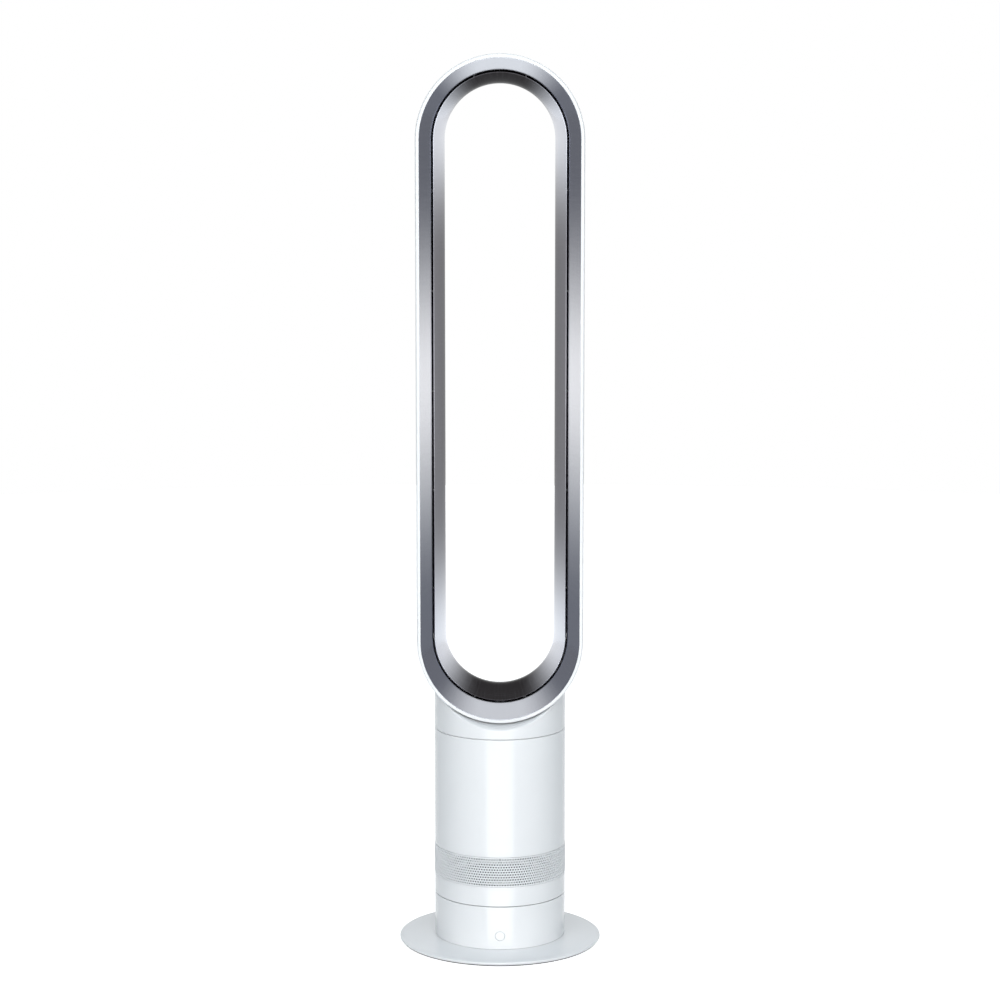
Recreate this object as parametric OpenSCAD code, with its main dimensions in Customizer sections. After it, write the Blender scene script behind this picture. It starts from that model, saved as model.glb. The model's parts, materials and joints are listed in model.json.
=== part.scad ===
// Bladeless tower fan: a tall loop on a round body that swings on a fixed base.
// Millimetres, +Z up, the front faces -Y. The origin is on the floor, under the centre of the base plate.

/* [Overall] */
// Height of the whole fan
total_h = 1007; // [900:1:1100]
// Diameter of the round body
body_d = 149; // [144:1:158]
// Height of the loop's underside above the floor
loop_z = 262; // [254:0.5:275]
// Height of the neck collar below the loop's underside
neck_h = 13.3; // [12:0.1:18]
// Wall of the white shells
wall = 2.2; // [1.8:0.1:2.6]
// Gap that shows between two fixed shells
joint_gap = 0.5; // [0.3:0.1:1]

/* [Base plate] */
// Diameter of the base plate
base_d = 230; // [217:1:260]
// Thickness of the rubber foot ring
foot_h = 1.2; // [1:0.1:3]
// Width of the rubber foot ring
foot_w = 12; // [8:1:12]
// Height of the base plate's edge
plate_edge_h = 3.6; // [3.2:0.1:8]
// Rise of the base plate from its edge to the housing
plate_rise = 2.4; // [1.6:0.1:5]
// Thickness of the steel weight
weight_h = 3.2; // [1.5:0.1:3.4]
// Diameter of the steel weight
weight_d = 183; // [150:1:184]

/* [Base housing] */
// Height of the fixed housing
housing_h = 49.1; // [48.7:0.1:60]
// Floor of the housing and of the lower collar
floor_t = 2.4; // [1.8:0.1:3]
// Running gap at the swivel seam
seam_gap = 0.6; // [0.3:0.1:1.2]
// Diameter of the power button
button_d = 10.6; // [9:0.1:11]
// Height of the power button above the base plate
button_rise = 15.7; // [15.2:0.1:17]
// Travel of the power button
button_travel = 1; // [0.5:0.1:1]
// Bore of the cord gland
inlet_bore_d = 8.4; // [6:0.1:9]

/* [Swivel] */
// Thickness of the chassis deck
deck_t = 3; // [2.4:0.1:3.4]
// Diameter of the bearing balls
ball_d = 5; // [4.6:0.1:5.2]
// Number of bearing balls
ball_count = 24; // [12:1:30]
// Pitch radius of the internal ring gear, over the radius of the ball race
ring_share = 0.73; // [0.68:0.01:0.74]
// Teeth of the drive pinion
pinion_teeth = 14; // [12:2:14]
// Teeth of the internal ring gear
ring_teeth = 70; // [66:4:70]
// Diameter of the hollow pivot
pivot_d = 18; // [16:0.5:20]

/* [Intake] */
// Height of the lower collar
collar_h = 22.4; // [20:0.1:30]
// Height of the perforated band
grille_h = 33.9; // [30:0.1:44]
// Thickness of the perforated skin
grille_t = 1.1; // [0.8:0.1:1.3]
// Diameter of a hole in the perforated skin
hole_d = 4.4; // [2:0.1:4.6]
// Rows of holes
hole_rows = 5; // [3:1:5]
// Holes in each row
holes_round = 40; // [24:1:48]
// Ribs of the cage behind the skin
cage_ribs = 12; // [8:1:16]

/* [Fan unit] */
// Inner diameter of the air duct, over the body's diameter
duct_share = 0.805; // [0.795:0.005:0.815]
// Wall of the air duct
duct_wall = 2; // [1.6:0.1:2.4]
// Diameter of the impeller's mouth, over the air duct's
mouth_share = 0.75; // [0.7:0.01:0.78]
// Height of the impeller
impeller_h = 24; // [20:1:26]
// Number of impeller blades
blade_count = 9; // [5:1:11]
// Outer diameter of the motor bucket, over the air duct's
bucket_share = 0.7; // [0.69:0.01:0.75]
// Number of diffuser vanes
vane_count = 11; // [7:1:13]
// Diameter of the motor shaft
shaft_d = 8; // [7:0.1:9]
// Outer diameter of the motor bearings
bearing_d = 22; // [20:0.5:23]
// Width of a motor bearing
bearing_w = 7; // [6:0.5:8]
// Outer diameter of the motor frame, over the motor bucket's
motor_share = 0.69; // [0.67:0.01:0.73]
// Height of the stator core
stator_h = 17; // [14:0.5:18]

/* [Loop] */
// Outer width of the loop
loop_w = 188; // [180:1:200]
// Depth of the loop, front to back
loop_depth = 110; // [104:1:124]
// Width of the opening at its narrowest
opening_w = 123.6; // [118:0.2:128]
// Wall of the loop's shells
loop_wall = 2; // [1.6:0.1:2.4]
// Width of the white rim seen from the front
rim_w = 3.7; // [3:0.1:5]
// Width across the air slot's inner edge
slot_w = 146.6; // [145:0.2:152]
// Width of the air slot
slot_gap = 1.4; // [1.2:0.1:3]
// Depth of the air slot behind the front rim
slot_back = 36; // [30:1:42]
// Depth of the narrowest place behind the front rim
throat_back = 76; // [70:1:82]
// Spacers along one straight side of the slot
side_spacers = 5; // [2:1:8]

/* [Hidden] */
$fn = 96;
over = 1;                 // overrun of a cut
fit = 0.15;               // play between two pieces of one body
snug = 0.05;              // radial play of a turned fit
seat = 0.3;               // play of a loose seat

body_r = body_d / 2;
bore_r = body_r - wall;
base_r = base_d / 2;
loop_r = loop_w / 2;

// Base plate and its weight
edge_round = 1;
plate_top = foot_h + plate_edge_h + plate_rise;
plate_seat_margin = 1.5;  // flat of the plate outside the housing
plate_hole_r = 14;
plate_rib = 6;            // ring of full thickness round the plate's hole
recess_h = weight_h + 0.2 * foot_h;
weight_r = weight_d / 2;
foot_inset = 6;
foot_ro = base_r - foot_inset;
foot_ri = foot_ro - foot_w;

// Screws
screw_r = 1.9;
screw_head_r = 3.4;
screw_head_h = 1.6;
post_r = 4.5;

// Base housing
housing_z = plate_top;
housing_top = housing_z + housing_h;
housing_floor = housing_z + floor_t;
base_screw_inset = 10.3;
base_screw_ring = bore_r - base_screw_inset;
base_screw_angle = 60;
base_boss_h = 8;
post_inset = 22.3;
post_ring = bore_r - post_inset;
post_h = 28.3;
deck_z = housing_floor + post_h;

// Power button
button_r = button_d / 2;
button_z = plate_top + button_rise;
button_play = 0.25;
button_face_y = -sqrt(body_r * body_r - button_r * button_r);
button_lip = 1.5;
button_flange_r = button_r + button_lip;
button_flange_t = 1.6;
flange_y = -sqrt(bore_r * bore_r - button_flange_r * button_flange_r) + seat;
flange_back_y = flange_y + button_flange_t;
stem_r = 1.6;
spring_wire_r = 0.35;
spring_r = 4.4;
spring_turns = 5;
spring_room = 8.3;
switch_t = 1.5;
switch_w = 5;
switch_h = 3.5;
switch_board_w = 18;
switch_board_y = flange_back_y + spring_room;
switch_board_rise = 9;
switch_board_top = button_z + switch_board_rise;
stem_end_y = switch_board_y - switch_h - button_travel - fit;

// Cord gland
inlet_rise = 10.5;
inlet_z = housing_floor + inlet_rise;
gland_wall = 2.3;
gland_r = inlet_bore_d / 2 + gland_wall;
gland_lip = 2.5;
gland_flange_r = gland_r + gland_lip;
gland_flange_t = 2;
gland_reach = 12.5;
gland_nut_t = 3;
gland_y = body_r - gland_reach;
gland_end_y = body_r + snug + gland_flange_t;
gland_nut_y = sqrt(bore_r * bore_r - gland_flange_r * gland_flange_r) - gland_nut_t - fit;

// Boards in the base
board_x = 8;
board_w_share = 0.664;
board_w = board_w_share * bore_r;
board_d_share = 0.72;
board_d = board_d_share * bore_r;
board_t = 1.6;
standoff_h = 3;
standoff_r = 2.5;
standoff_inset = 4;
board_z = housing_floor + standoff_h;
display_w = 22;
display_h = 13;
display_t = 1.4;
display_shelf_t = 1;
display_gap = 1.2;
display_z = button_z + button_flange_r + display_gap;
display_play = 0.8;
display_y = -sqrt(bore_r * bore_r - display_w * display_w / 4) + display_play;
chip_h = 1.6;
socket_h = 6.4;

// Swivel
tower_z = housing_top + seam_gap;
deck_play = 6.3;
deck_r = bore_r - deck_play;
deck_top = deck_z + deck_t;
race_inset = 12.3;
race_r = bore_r - race_inset;
race_w = 8;
race_h = 2.2;
race_floor = 1;
ball_r = ball_d / 2;
ball_z = deck_top + race_floor + ball_r;
race_play = 0.06;
cage_t = 1.6;
cage_w = 6;
table_z = ball_z + ball_r + race_play + race_floor;
table_t = 3;
table_top = table_z + table_t;
table_play = 4.3;
table_r = bore_r - table_play;
table_wall_inset = 8.8;
table_wall_r = bore_r - table_wall_inset;
table_wall_t = 2.5;
pivot_r = pivot_d / 2;
pivot_wall = 3;
pivot_bore_r = pivot_r - pivot_wall;
pivot_play = 0.08;
table_hub_w = 6;
hub_r = pivot_r + table_hub_w;
hub_drop = 2.2;
hub_rise = 1;
hub_top = table_top + hub_rise;
clip_t = 1.4;
clip_play = 0.2;
clip_w = 4.5;
clip_r = pivot_r + clip_w;
pivot_lead_in = 0.8;
pivot_top = hub_top + clip_play + clip_t + pivot_lead_in;
tower_screw_inset = 13.8;
tower_screw_ring = bore_r - tower_screw_inset;
tower_boss_r = 4;

// Swivel gears
pressure_angle = 25;
tooth_share = 0.8;        // addendum over module
root_share = 1.05;        // dedendum over module
gear_play = 0.12;
gear_h = 4.6;
pinion_h = 4.1;
ring_back = 5.5;
ring_pitch_r = ring_share * race_r;
gear_module = 2 * ring_pitch_r / ring_teeth;
pinion_pitch_r = gear_module * pinion_teeth / 2;
pinion_x = -(ring_pitch_r - pinion_pitch_r);
gear_z = table_z - gear_h;
drive_shaft_r = 2.5;
drive_shaft_h = 14;
swivel_motor_r = 17;
swivel_motor_h = 16;
swivel_motor_z = deck_z - swivel_motor_h;

// Intake
collar_top = tower_z + collar_h;
collar_hole_r = 20;
grille_z = collar_top + seat;
grille_top = grille_z + grille_h;
grille_r = body_r + seat;
cage_ring_h = 6;
cage_ring_t = 2.8;
cage_ring_r = bore_r - fit;
cage_rib_w = 3;
cage_rib_r = grille_r - grille_t - fit;
shell_z = grille_top + seat;
foam_h = 8.6;
foam_ri = 26;
foam_play = 0.6;
foam_ro = bore_r - foam_play;

// Neck and body shell
neck_z = loop_z - neck_h;
shelf_t = 2;
shell_top = neck_z - joint_gap;
spigot_h = 6.9;
spigot_t = 2.3;
ledge_gap = 1.4;
ledge_z = shell_z + cage_ring_h + ledge_gap;
ledge_t = 3;
ledge_play_share = 0.027;
ledge_play = ledge_play_share * body_r;
duct_r = duct_share * body_r;
ledge_ri = duct_r + duct_wall + ledge_play;

// Air duct and impeller
bush_h = 3.7;
bush_share = 0.432;       // of the ledge's width
bush_r = bush_share * (bore_r - ledge_ri);
bush_ring = (ledge_ri + bore_r) / 2;
bush_count = 4;
flange_z = ledge_z + ledge_t + bush_h;
flange_t = 2.5;
flange_play = 1.8;
flange_r = bore_r - flange_play;
duct_ro = duct_r + duct_wall;
mouth_r = mouth_share * duct_r;
tip_gap = 0.8;
duct_gap = 0.5;
duct_z = ledge_z + ledge_t + duct_gap;
blade_z = flange_z + flange_t;
blade_top = blade_z + impeller_h;
blade_r = duct_r - tip_gap;
bellows_h = 26.9;
duct_top = neck_z - bellows_h;
bell_gap = 1.4;
bell_z = shell_z + bell_gap;
bell_flare = 12;
hub_low_r = 13;
hub_share = 0.78;
hub_high_r = hub_share * blade_r;
hub_wall = 2;
hub_boss_r = 8;
blade_t = 1.8;
blade_bend_r = 45;
blade_bend_off = 38;
shaft_r = shaft_d / 2;

// Motor bucket and diffuser
bucket_r = bucket_share * duct_r;
bucket_wall = 2;
bucket_gap = 1.5;
bucket_z = blade_top + bucket_gap;
bucket_floor_t = 2.5;
bucket_floor = bucket_z + bucket_floor_t;
bucket_h = 50;
bucket_top = bucket_floor + bucket_h;
bucket_hole_r = 9;
vane_t = 2;
vane_rise = 5.5;
vane_z = bucket_z + vane_rise;
vane_h = 38;
vane_bend_r = 40;
vane_bend_off = 45;
cap_rise = 19;
cap_skirt = 3;
cap_steps = 10;

// Motor
motor_r = motor_share * bucket_r;
motor_wall = 2;
motor_floor_t = 2.5;
bearing_r = bearing_d / 2;
bearing_wall = 3;
motor_z = bucket_floor;
stator_gap = 2;
stator_z = motor_z + bearing_w + stator_gap;
frame_room = 7;
motor_frame_h = bearing_w + stator_h + frame_room;
motor_cap_z = motor_z + motor_frame_h;
motor_cap_t = 2.5;
bearing_proud = 1.5;
upper_bearing_z = motor_cap_z + motor_cap_t + bearing_proud - bearing_w;
rotor_share = 0.49;
rotor_r = rotor_share * motor_r;
air_gap = 0.7;
pole_count = 6;
pole_share = 0.207;       // widths of the stator and its coils, over the motor's radius
pole_w = pole_share * motor_r;
pole_tip_share = 0.38;
pole_tip_w = pole_tip_share * motor_r;
pole_tip_t_share = 0.069;
pole_tip_t = pole_tip_t_share * motor_r;
yoke_share = 0.169;
yoke_t = yoke_share * motor_r;
coil_share = 0.38;
coil_w = coil_share * motor_r;
coil_over = 2.2;
shaft_drop = 5;
shaft_z = blade_z - shaft_drop;
shaft_rise = 2.5;
shaft_top = upper_bearing_z + bearing_w + shaft_rise;
nut_r = 6.5;
nut_h = 4.6;

// Bellows
bellows_t = 1.6;
bellows_folds = 4;
bellows_room = bore_r - spigot_t - duct_ro - bellows_t - 2 * fit;
fold_share = 0.65;        // of that room, between the duct and the neck's spigot
bellows_fold_w = fold_share * bellows_room;
bellows_cuff_h = 6;

// Loop, in rings about its two arc centres
arc_top_z = total_h - loop_r;
arc_low_z = loop_z + loop_r;
front_y = -loop_depth / 2;
back_y = loop_depth / 2;
rim_draw = 1.5;           // the outer shell narrows by this at the rim
rim_r = loop_r - rim_draw;
lip_r = rim_r - rim_w;
swell_share = 0.41;        // where the shell reaches its full width, over its depth
swell_y = front_y + swell_share * loop_depth;
throat_y = front_y + throat_back;
slot_y = front_y + slot_back;
throat_r = opening_w / 2;
slot_r = slot_w / 2;
tip_t = 0.8;
nose_r = (loop_r - throat_r) / 2;
nose_mid_r = (loop_r + throat_r) / 2;
nose_y = back_y - throat_y;
arc_steps = 9;
band_steps = 8;
skin_gap = 0.1;           // half of the seam between two loop shells
tab_w = 1.8;
band_tuck = 11;
band_end_y = slot_y + band_tuck;
band_curl = 6;
curl_share = 0.3;
spacer_t = 1.5;
arc_spacers = 4;
loop_duct_share = 0.537;
loop_duct_r = loop_duct_share * body_r;
loop_duct_t = 2;
loop_screw_share = 0.671;
loop_screw_x = loop_screw_share * body_r;
loop_screw_y = 20;
loop_boss_r = 4;
pilot_r = 1.6;
pilot_h = 12;
splitter_w = 26;
splitter_h = 20;
splitter_y0 = band_end_y + fit;
splitter_back = 13;
splitter_y1 = back_y - splitter_back;

// Leads
lead_r = 1.5;
lead_bend = 6;
lead_hole_r = 2.3;
lead_split_drop = 1;
lead_split_z = hub_top - lead_split_drop;
lead_clear = 2.6;
lead_low_z = tower_z + floor_t + foam_h + lead_clear;
lead_x = cage_ring_r - cage_ring_t - lead_r - seat;
lead_drop = 1;
lead_high_z = bucket_top - cap_skirt - lead_r - lead_drop;
lead_end_x = (bearing_r + bearing_wall + motor_r) / 2;
lead_azimuth = 90;
lead_seat_x = 20;

// A straight tube that stands on z
module tube(outer_r, inner_r, h, z) {
  translate([0, 0, z]) difference() {
    cylinder(r = outer_r, h = h);
    translate([0, 0, -over]) cylinder(r = inner_r, h = h + 2 * over);
  }
}

// Copies its children round the Z axis at a radius
module around(count, ring_r, start = 0) {
  for (i = [0 : count - 1]) rotate([0, 0, start + i * 360 / count]) translate([ring_r, 0, 0]) children();
}

// A cylinder along +Y from one y to another, at a height
module along_y(r, y0, y1, z) {
  translate([0, y0, z]) rotate([-90, 0, 0]) cylinder(r = r, h = y1 - y0);
}

// A screw with a flat head that points down from z, or up when flipped
module screw(z, shank_h, flip = 0) {
  translate([0, 0, z]) mirror([0, 0, flip]) {
    cylinder(r = screw_head_r, h = screw_head_h);
    translate([0, 0, -shank_h]) cylinder(r = pilot_r, h = shank_h + screw_head_h / 2);
  }
}

// Involute gear outline: the roll of the involute at radius r, in degrees
function roll(base, r) = let(a = acos(min(1, base / r))) tan(a) * 180 / PI - a;
function flank(teeth, play, r) = let(pitch = gear_module * teeth / 2, base = pitch * cos(pressure_angle))
  90 / teeth + roll(base, pitch) - roll(base, max(r, base)) + play / pitch * 180 / PI;
function gear_points(teeth, play, root, tip, steps = 5) = [
  for (i = [0 : teeth - 1], side = [-1, 1], s = [0 : steps])
    let(k = side < 0 ? s : steps - s, r = root + (tip - root) * k / steps,
        a = i * 360 / teeth + side * flank(teeth, play, r))
    [r * cos(a), r * sin(a)]
];

// A smooth coil along +Z, one closed tube
function coil_ring(a, h, turns, n) = [
  for (k = [0 : n - 1]) let(b = k * 360 / n)
    [(spring_r + spring_wire_r * cos(b)) * cos(a), (spring_r + spring_wire_r * cos(b)) * sin(a),
     h * a / (360 * turns) + spring_wire_r * sin(b)]
];
module coil(h, turns, n = 6, per_turn = 12) {
  rings = turns * per_turn;
  points = [for (i = [0 : rings]) each coil_ring(i * 360 / per_turn, h, turns, n)];
  side_faces = [for (i = [0 : rings - 1], k = [0 : n - 1])
    [i * n + k, i * n + (k + 1) % n, (i + 1) * n + (k + 1) % n, (i + 1) * n + k]];
  triangles = [for (f = side_faces, half = [0, 1]) half == 0 ? [f[0], f[2], f[1]] : [f[0], f[3], f[2]]];
  first_end = [for (k = [1 : n - 2]) [0, k, k + 1]];
  last_end = [for (k = [1 : n - 2]) [rings * n, rings * n + k + 1, rings * n + k]];
  polyhedron(points, concat(triangles, first_end, last_end));
}

// A quarter bend of lead in the XZ plane about a centre, from one angle on
module lead_bend_at(x, z, start) {
  translate([x, 0, z]) rotate([90, 0, 0]) rotate([0, 0, start]) rotate_extrude(angle = 90)
    translate([lead_bend, 0]) circle(r = lead_r);
}
module lead_up(x, z0, z1) { translate([x, 0, z0]) cylinder(r = lead_r, h = z1 - z0); }
module lead_out(x0, x1, z) { translate([x0, 0, z]) rotate([0, 90, 0]) cylinder(r = lead_r, h = x1 - x0); }

// Base plate, weight and foot

module base_plate() {
  color("whitesmoke") difference() {
    rotate_extrude() polygon([
      [plate_hole_r, foot_h], [base_r - edge_round, foot_h], [base_r, foot_h + edge_round],
      [base_r, foot_h + plate_edge_h - edge_round], [base_r - edge_round, foot_h + plate_edge_h],
      [body_r + plate_seat_margin, plate_top], [plate_hole_r, plate_top]
    ]);
    tube(weight_r + fit, plate_hole_r + plate_rib, recess_h + over, foot_h - over);
    around(3, base_screw_ring, base_screw_angle) cylinder(r = screw_r + fit, h = plate_top + over);
  }
}

module base_weight() {
  weight_z = foot_h + recess_h - weight_h;
  color("dimgray") difference() {
    tube(weight_r, plate_hole_r + plate_rib + fit, weight_h, weight_z);
    around(3, base_screw_ring, base_screw_angle) cylinder(r = screw_head_r + fit, h = plate_top);
  }
}

module foot_ring() {
  color("black") tube(foot_ro, foot_ri, foot_h, 0);
}

module base_screws() {
  head_top = foot_h + recess_h;
  color("silver") around(3, base_screw_ring, base_screw_angle)
    screw(head_top, housing_z - head_top + base_boss_h - over, 1);
}

// Base housing

module housing_openings() {
  along_y(button_r + button_play, -body_r - over, 0, button_z);
  along_y(gland_r + fit, 0, body_r + over, inlet_z);
  translate([0, 0, housing_z - over]) around(3, base_screw_ring, base_screw_angle)
    cylinder(r = pilot_r + snug, h = base_boss_h + over);
  translate([0, 0, deck_z - pilot_h]) around(4, post_ring, 45)
    cylinder(r = pilot_r + snug, h = pilot_h + over);
  translate([0, 0, housing_z - over]) cylinder(r = plate_hole_r, h = floor_t + 2 * over);
}

module base_housing() {
  color("whitesmoke") difference() {
    union() {
      rotate_extrude() polygon([
        [0, housing_z], [body_r, housing_z], [body_r, housing_top], [bore_r, housing_top],
        [bore_r, housing_floor], [0, housing_floor]
      ]);
      translate([0, 0, housing_z + floor_t / 2]) {
        around(3, base_screw_ring, base_screw_angle) cylinder(r = post_r, h = base_boss_h);
        around(4, post_ring, 45) cylinder(r = post_r, h = post_h + floor_t / 2);
        for (x = [standoff_inset, board_w - standoff_inset], y = [-1, 1])
          translate([board_x + x, y * (board_d / 2 - standoff_inset), 0])
            cylinder(r = standoff_r, h = standoff_h + floor_t / 2);
      }
      intersection() {
        cylinder(r = body_r - wall / 2, h = housing_top);
        translate([-display_w / 2, -body_r, display_z - display_shelf_t])
          cube([display_w, body_r + display_y + display_t, display_shelf_t]);
      }
    }
    housing_openings();
  }
}

module base_chassis() {
  color("dimgray") difference() {
    union() {
      translate([0, 0, deck_z]) cylinder(r = deck_r, h = deck_t);
      translate([0, 0, deck_z]) cylinder(r = pivot_r, h = pivot_top - deck_z);
    }
    translate([0, 0, deck_z - over]) {
      cylinder(r = pivot_bore_r, h = pivot_top);
      translate([pinion_x, 0, 0]) cylinder(r = drive_shaft_r + over, h = deck_t + 2 * over);
      around(4, post_ring, 45) cylinder(r = pilot_r + fit, h = deck_t + 2 * over);
    }
    translate([0, 0, deck_top - screw_head_h - fit]) around(4, post_ring, 45)
      cylinder(r = screw_head_r + fit, h = screw_head_h + over);
  }
}

module chassis_screws() {
  color("silver") around(4, post_ring, 45) screw(deck_top - screw_head_h - fit, pilot_h - deck_t);
}

// Thrust bearing and pivot

module race(z, groove_z) {
  difference() {
    tube(race_r + race_w / 2, race_r - race_w / 2, race_h, z);
    translate([0, 0, groove_z]) rotate_extrude() translate([race_r, 0]) circle(r = ball_r + race_play);
  }
}

module lower_race() {
  color("silver") race(deck_top, ball_z);
}

module upper_race() {
  color("silver") race(table_z - race_h, ball_z);
}

module bearing_balls() {
  color("lightgray") around(ball_count, race_r) translate([0, 0, ball_z]) sphere(r = ball_r, $fn = 32);
}

module ball_cage() {
  color("ivory") difference() {
    tube(race_r + cage_w / 2, race_r - cage_w / 2, cage_t, ball_z - cage_t / 2);
    translate([0, 0, ball_z - cage_t]) around(ball_count, race_r)
      cylinder(r = ball_r + fit / 2, h = 2 * cage_t);
  }
}

module pivot_clip() {
  color("silver") tube(clip_r, pivot_r + snug, clip_t, hub_top + clip_play);
}

module turntable() {
  color("gray") difference() {
    union() {
      translate([0, 0, table_z]) cylinder(r = table_r, h = table_t);
      translate([0, 0, table_z - hub_drop]) cylinder(r = hub_r, h = hub_top - table_z + hub_drop);
      tube(table_wall_r, table_wall_r - table_wall_t, tower_z - table_z, table_z);
      translate([0, 0, table_z]) around(4, tower_screw_ring)
        cylinder(r = tower_boss_r, h = tower_z - table_z);
    }
    translate([0, 0, table_z - hub_drop - over]) cylinder(r = pivot_r + pivot_play, h = tower_z);
    translate([0, 0, table_z + over]) around(4, tower_screw_ring) cylinder(r = pilot_r + snug, h = tower_z);
  }
}

module tower_screws() {
  color("silver") around(4, tower_screw_ring)
    screw(tower_z + floor_t, tower_z + floor_t - table_z - 2 * over);
}

// Swivel drive

module ring_gear() {
  root = ring_pitch_r - tooth_share * gear_module;
  tip = ring_pitch_r + root_share * gear_module;
  color("ivory") translate([0, 0, gear_z]) linear_extrude(gear_h) difference() {
    circle(r = ring_pitch_r + ring_back + gear_module);
    polygon(gear_points(ring_teeth, gear_play, root, tip));
  }
}

module drive_pinion() {
  root = pinion_pitch_r - root_share * gear_module;
  tip = pinion_pitch_r + tooth_share * gear_module;
  gear_low = gear_z + (gear_h - pinion_h) / 2;
  color("ivory") translate([pinion_x, 0, 0]) {
    translate([0, 0, gear_low]) linear_extrude(pinion_h)
      polygon(gear_points(pinion_teeth, -gear_play, root, tip));
    translate([0, 0, gear_low - drive_shaft_h]) cylinder(r = drive_shaft_r, h = drive_shaft_h + pinion_h / 2);
  }
}

module swivel_motor() {
  shaft_room = gear_z + (gear_h - pinion_h) / 2 - drive_shaft_h - fit;
  color("silver") translate([pinion_x, 0, 0]) difference() {
    translate([0, 0, swivel_motor_z]) cylinder(r = swivel_motor_r, h = swivel_motor_h);
    translate([0, 0, shaft_room]) cylinder(r = drive_shaft_r + snug, h = deck_z);
  }
}

// Boards, lead and gland in the base

module control_board() {
  color("darkgreen") translate([board_x, -board_d / 2, board_z]) cube([board_w, board_d, board_t]);
}

module board_parts() {
  top = board_z + board_t;
  color("dimgray") translate([0, 0, top]) {
    translate([lead_seat_x - socket_h / 2, -socket_h / 2, 0]) cube(socket_h);
    translate([board_x + board_w * 0.55, board_d * 0.1, 0])
      cube([board_w * 0.34, board_d * 0.28, board_t * 7]);
    for (y = [-0.36, -0.14]) translate([board_x + board_w * 0.8, board_d * y, 0])
      cylinder(r = board_w * 0.1, h = board_t * 8);
    translate([board_x + board_w * 0.36, -board_d * 0.4, 0]) cube([board_w * 0.18, board_w * 0.18, chip_h]);
  }
}

module display_board() {
  color("darkgreen") translate([-display_w / 2, display_y, display_z])
    cube([display_w, display_t, display_h]);
}

module button_switch() {
  color("darkgreen") translate([-switch_board_w / 2, switch_board_y, housing_floor])
    cube([switch_board_w, switch_t, switch_board_top - housing_floor]);
  color("black") translate([-switch_w / 2, switch_board_y - switch_h, button_z - switch_w / 2])
    cube([switch_w, switch_h, switch_w]);
}

module button_spring() {
  color("silver") translate([0, flange_back_y + spring_wire_r + snug, button_z]) rotate([-90, 0, 0])
    coil(spring_room - 2 * (spring_wire_r + snug), spring_turns);
}

module power_button() {
  color("whitesmoke") {
    along_y(button_r, button_face_y, flange_y + button_flange_t / 2, button_z);
    along_y(button_flange_r, flange_y, flange_back_y, button_z);
    along_y(stem_r, flange_back_y - button_flange_t / 2, stem_end_y, button_z);
  }
}

module cord_gland() {
  color("white") difference() {
    union() {
      along_y(gland_r, gland_y, gland_end_y, inlet_z);
      along_y(gland_flange_r, body_r + snug, gland_end_y, inlet_z);
    }
    along_y(inlet_bore_d / 2, gland_y - over, gland_end_y + over, inlet_z);
  }
}

module gland_nut() {
  color("white") difference() {
    translate([0, gland_nut_y, inlet_z]) rotate([-90, 0, 0])
      cylinder(r = gland_flange_r, h = gland_nut_t, $fn = 6);
    along_y(gland_r + snug, gland_nut_y - over, gland_nut_y + gland_nut_t + over, inlet_z);
  }
}

module base_lead() {
  turn_z = (board_z + board_t + socket_h + deck_z) / 2;
  color("black") {
    lead_up(lead_seat_x, board_z + board_t + socket_h, turn_z - lead_bend);
    lead_bend_at(lead_seat_x - lead_bend, turn_z - lead_bend, 0);
    lead_out(lead_bend, lead_seat_x - lead_bend, turn_z);
    lead_bend_at(lead_bend, turn_z + lead_bend, 180);
    lead_up(0, turn_z + lead_bend, lead_split_z);
  }
}

// Intake

module lower_collar() {
  color("whitesmoke") difference() {
    rotate_extrude() polygon([
      [collar_hole_r, tower_z], [body_r, tower_z], [body_r, collar_top], [bore_r, collar_top],
      [bore_r, tower_z + floor_t], [collar_hole_r, tower_z + floor_t]
    ]);
    translate([0, 0, tower_z - over]) around(4, tower_screw_ring)
      cylinder(r = pilot_r + snug, h = floor_t + 2 * over);
  }
}

module foam_silencer() {
  color("darkgray") difference() {
    tube(foam_ro, foam_ri, foam_h, tower_z + floor_t);
    translate([0, 0, tower_z]) around(4, tower_screw_ring)
      cylinder(r = screw_head_r + over, h = foam_h * 2);
  }
}

module inlet_cage() {
  color("gray") union() {
    tube(cage_ring_r, cage_ring_r - cage_ring_t, cage_ring_h, collar_top - cage_ring_h);
    tube(cage_ring_r, cage_ring_r - cage_ring_t, cage_ring_h, shell_z);
    intersection() {
      tube(cage_rib_r, cage_ring_r - cage_ring_t, shell_z - collar_top, collar_top);
      around(cage_ribs, 0) translate([0, -cage_rib_w / 2, collar_top])
        cube([body_r, cage_rib_w, shell_z - collar_top]);
    }
  }
}

module inlet_grille() {
  margin = grille_h * 0.14;
  pitch = (grille_h - 2 * margin) / (hole_rows - 1);
  color("gainsboro") difference() {
    tube(grille_r, grille_r - grille_t, grille_h, grille_z);
    for (row = [0 : hole_rows - 1])
      translate([0, 0, grille_z + margin + row * pitch])
        around(holes_round, 0, row % 2 * 180 / holes_round)
          translate([cage_rib_r - over, 0, 0]) rotate([0, 90, 0])
            cylinder(r = hole_d / 2, h = grille_t + 4 * over);
  }
}

module body_shell() {
  color("whitesmoke") difference() {
    union() {
      tube(body_r, bore_r, shell_top - shell_z, shell_z);
      tube(body_r - wall / 2, ledge_ri, ledge_t, ledge_z);
    }
    rotate([0, 0, lead_azimuth]) translate([lead_x, 0, ledge_z - over])
      cylinder(r = lead_hole_r, h = ledge_t + 2 * over);
  }
}

// Fan unit

module bell_mouth() {
  lip = mouth_r + tip_gap;
  depth = duct_z - bell_z;
  inner = [for (i = [0 : 6]) let(a = i * 15) [lip + bell_flare * (1 - cos(a)), duct_z - depth * sin(a)]];
  outer = [for (p = inner) [p[0] + duct_wall, p[1]]];
  color("dimgray") rotate_extrude()
    polygon(concat(inner, [for (i = [6 : -1 : 0]) outer[i]]));
}

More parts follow.
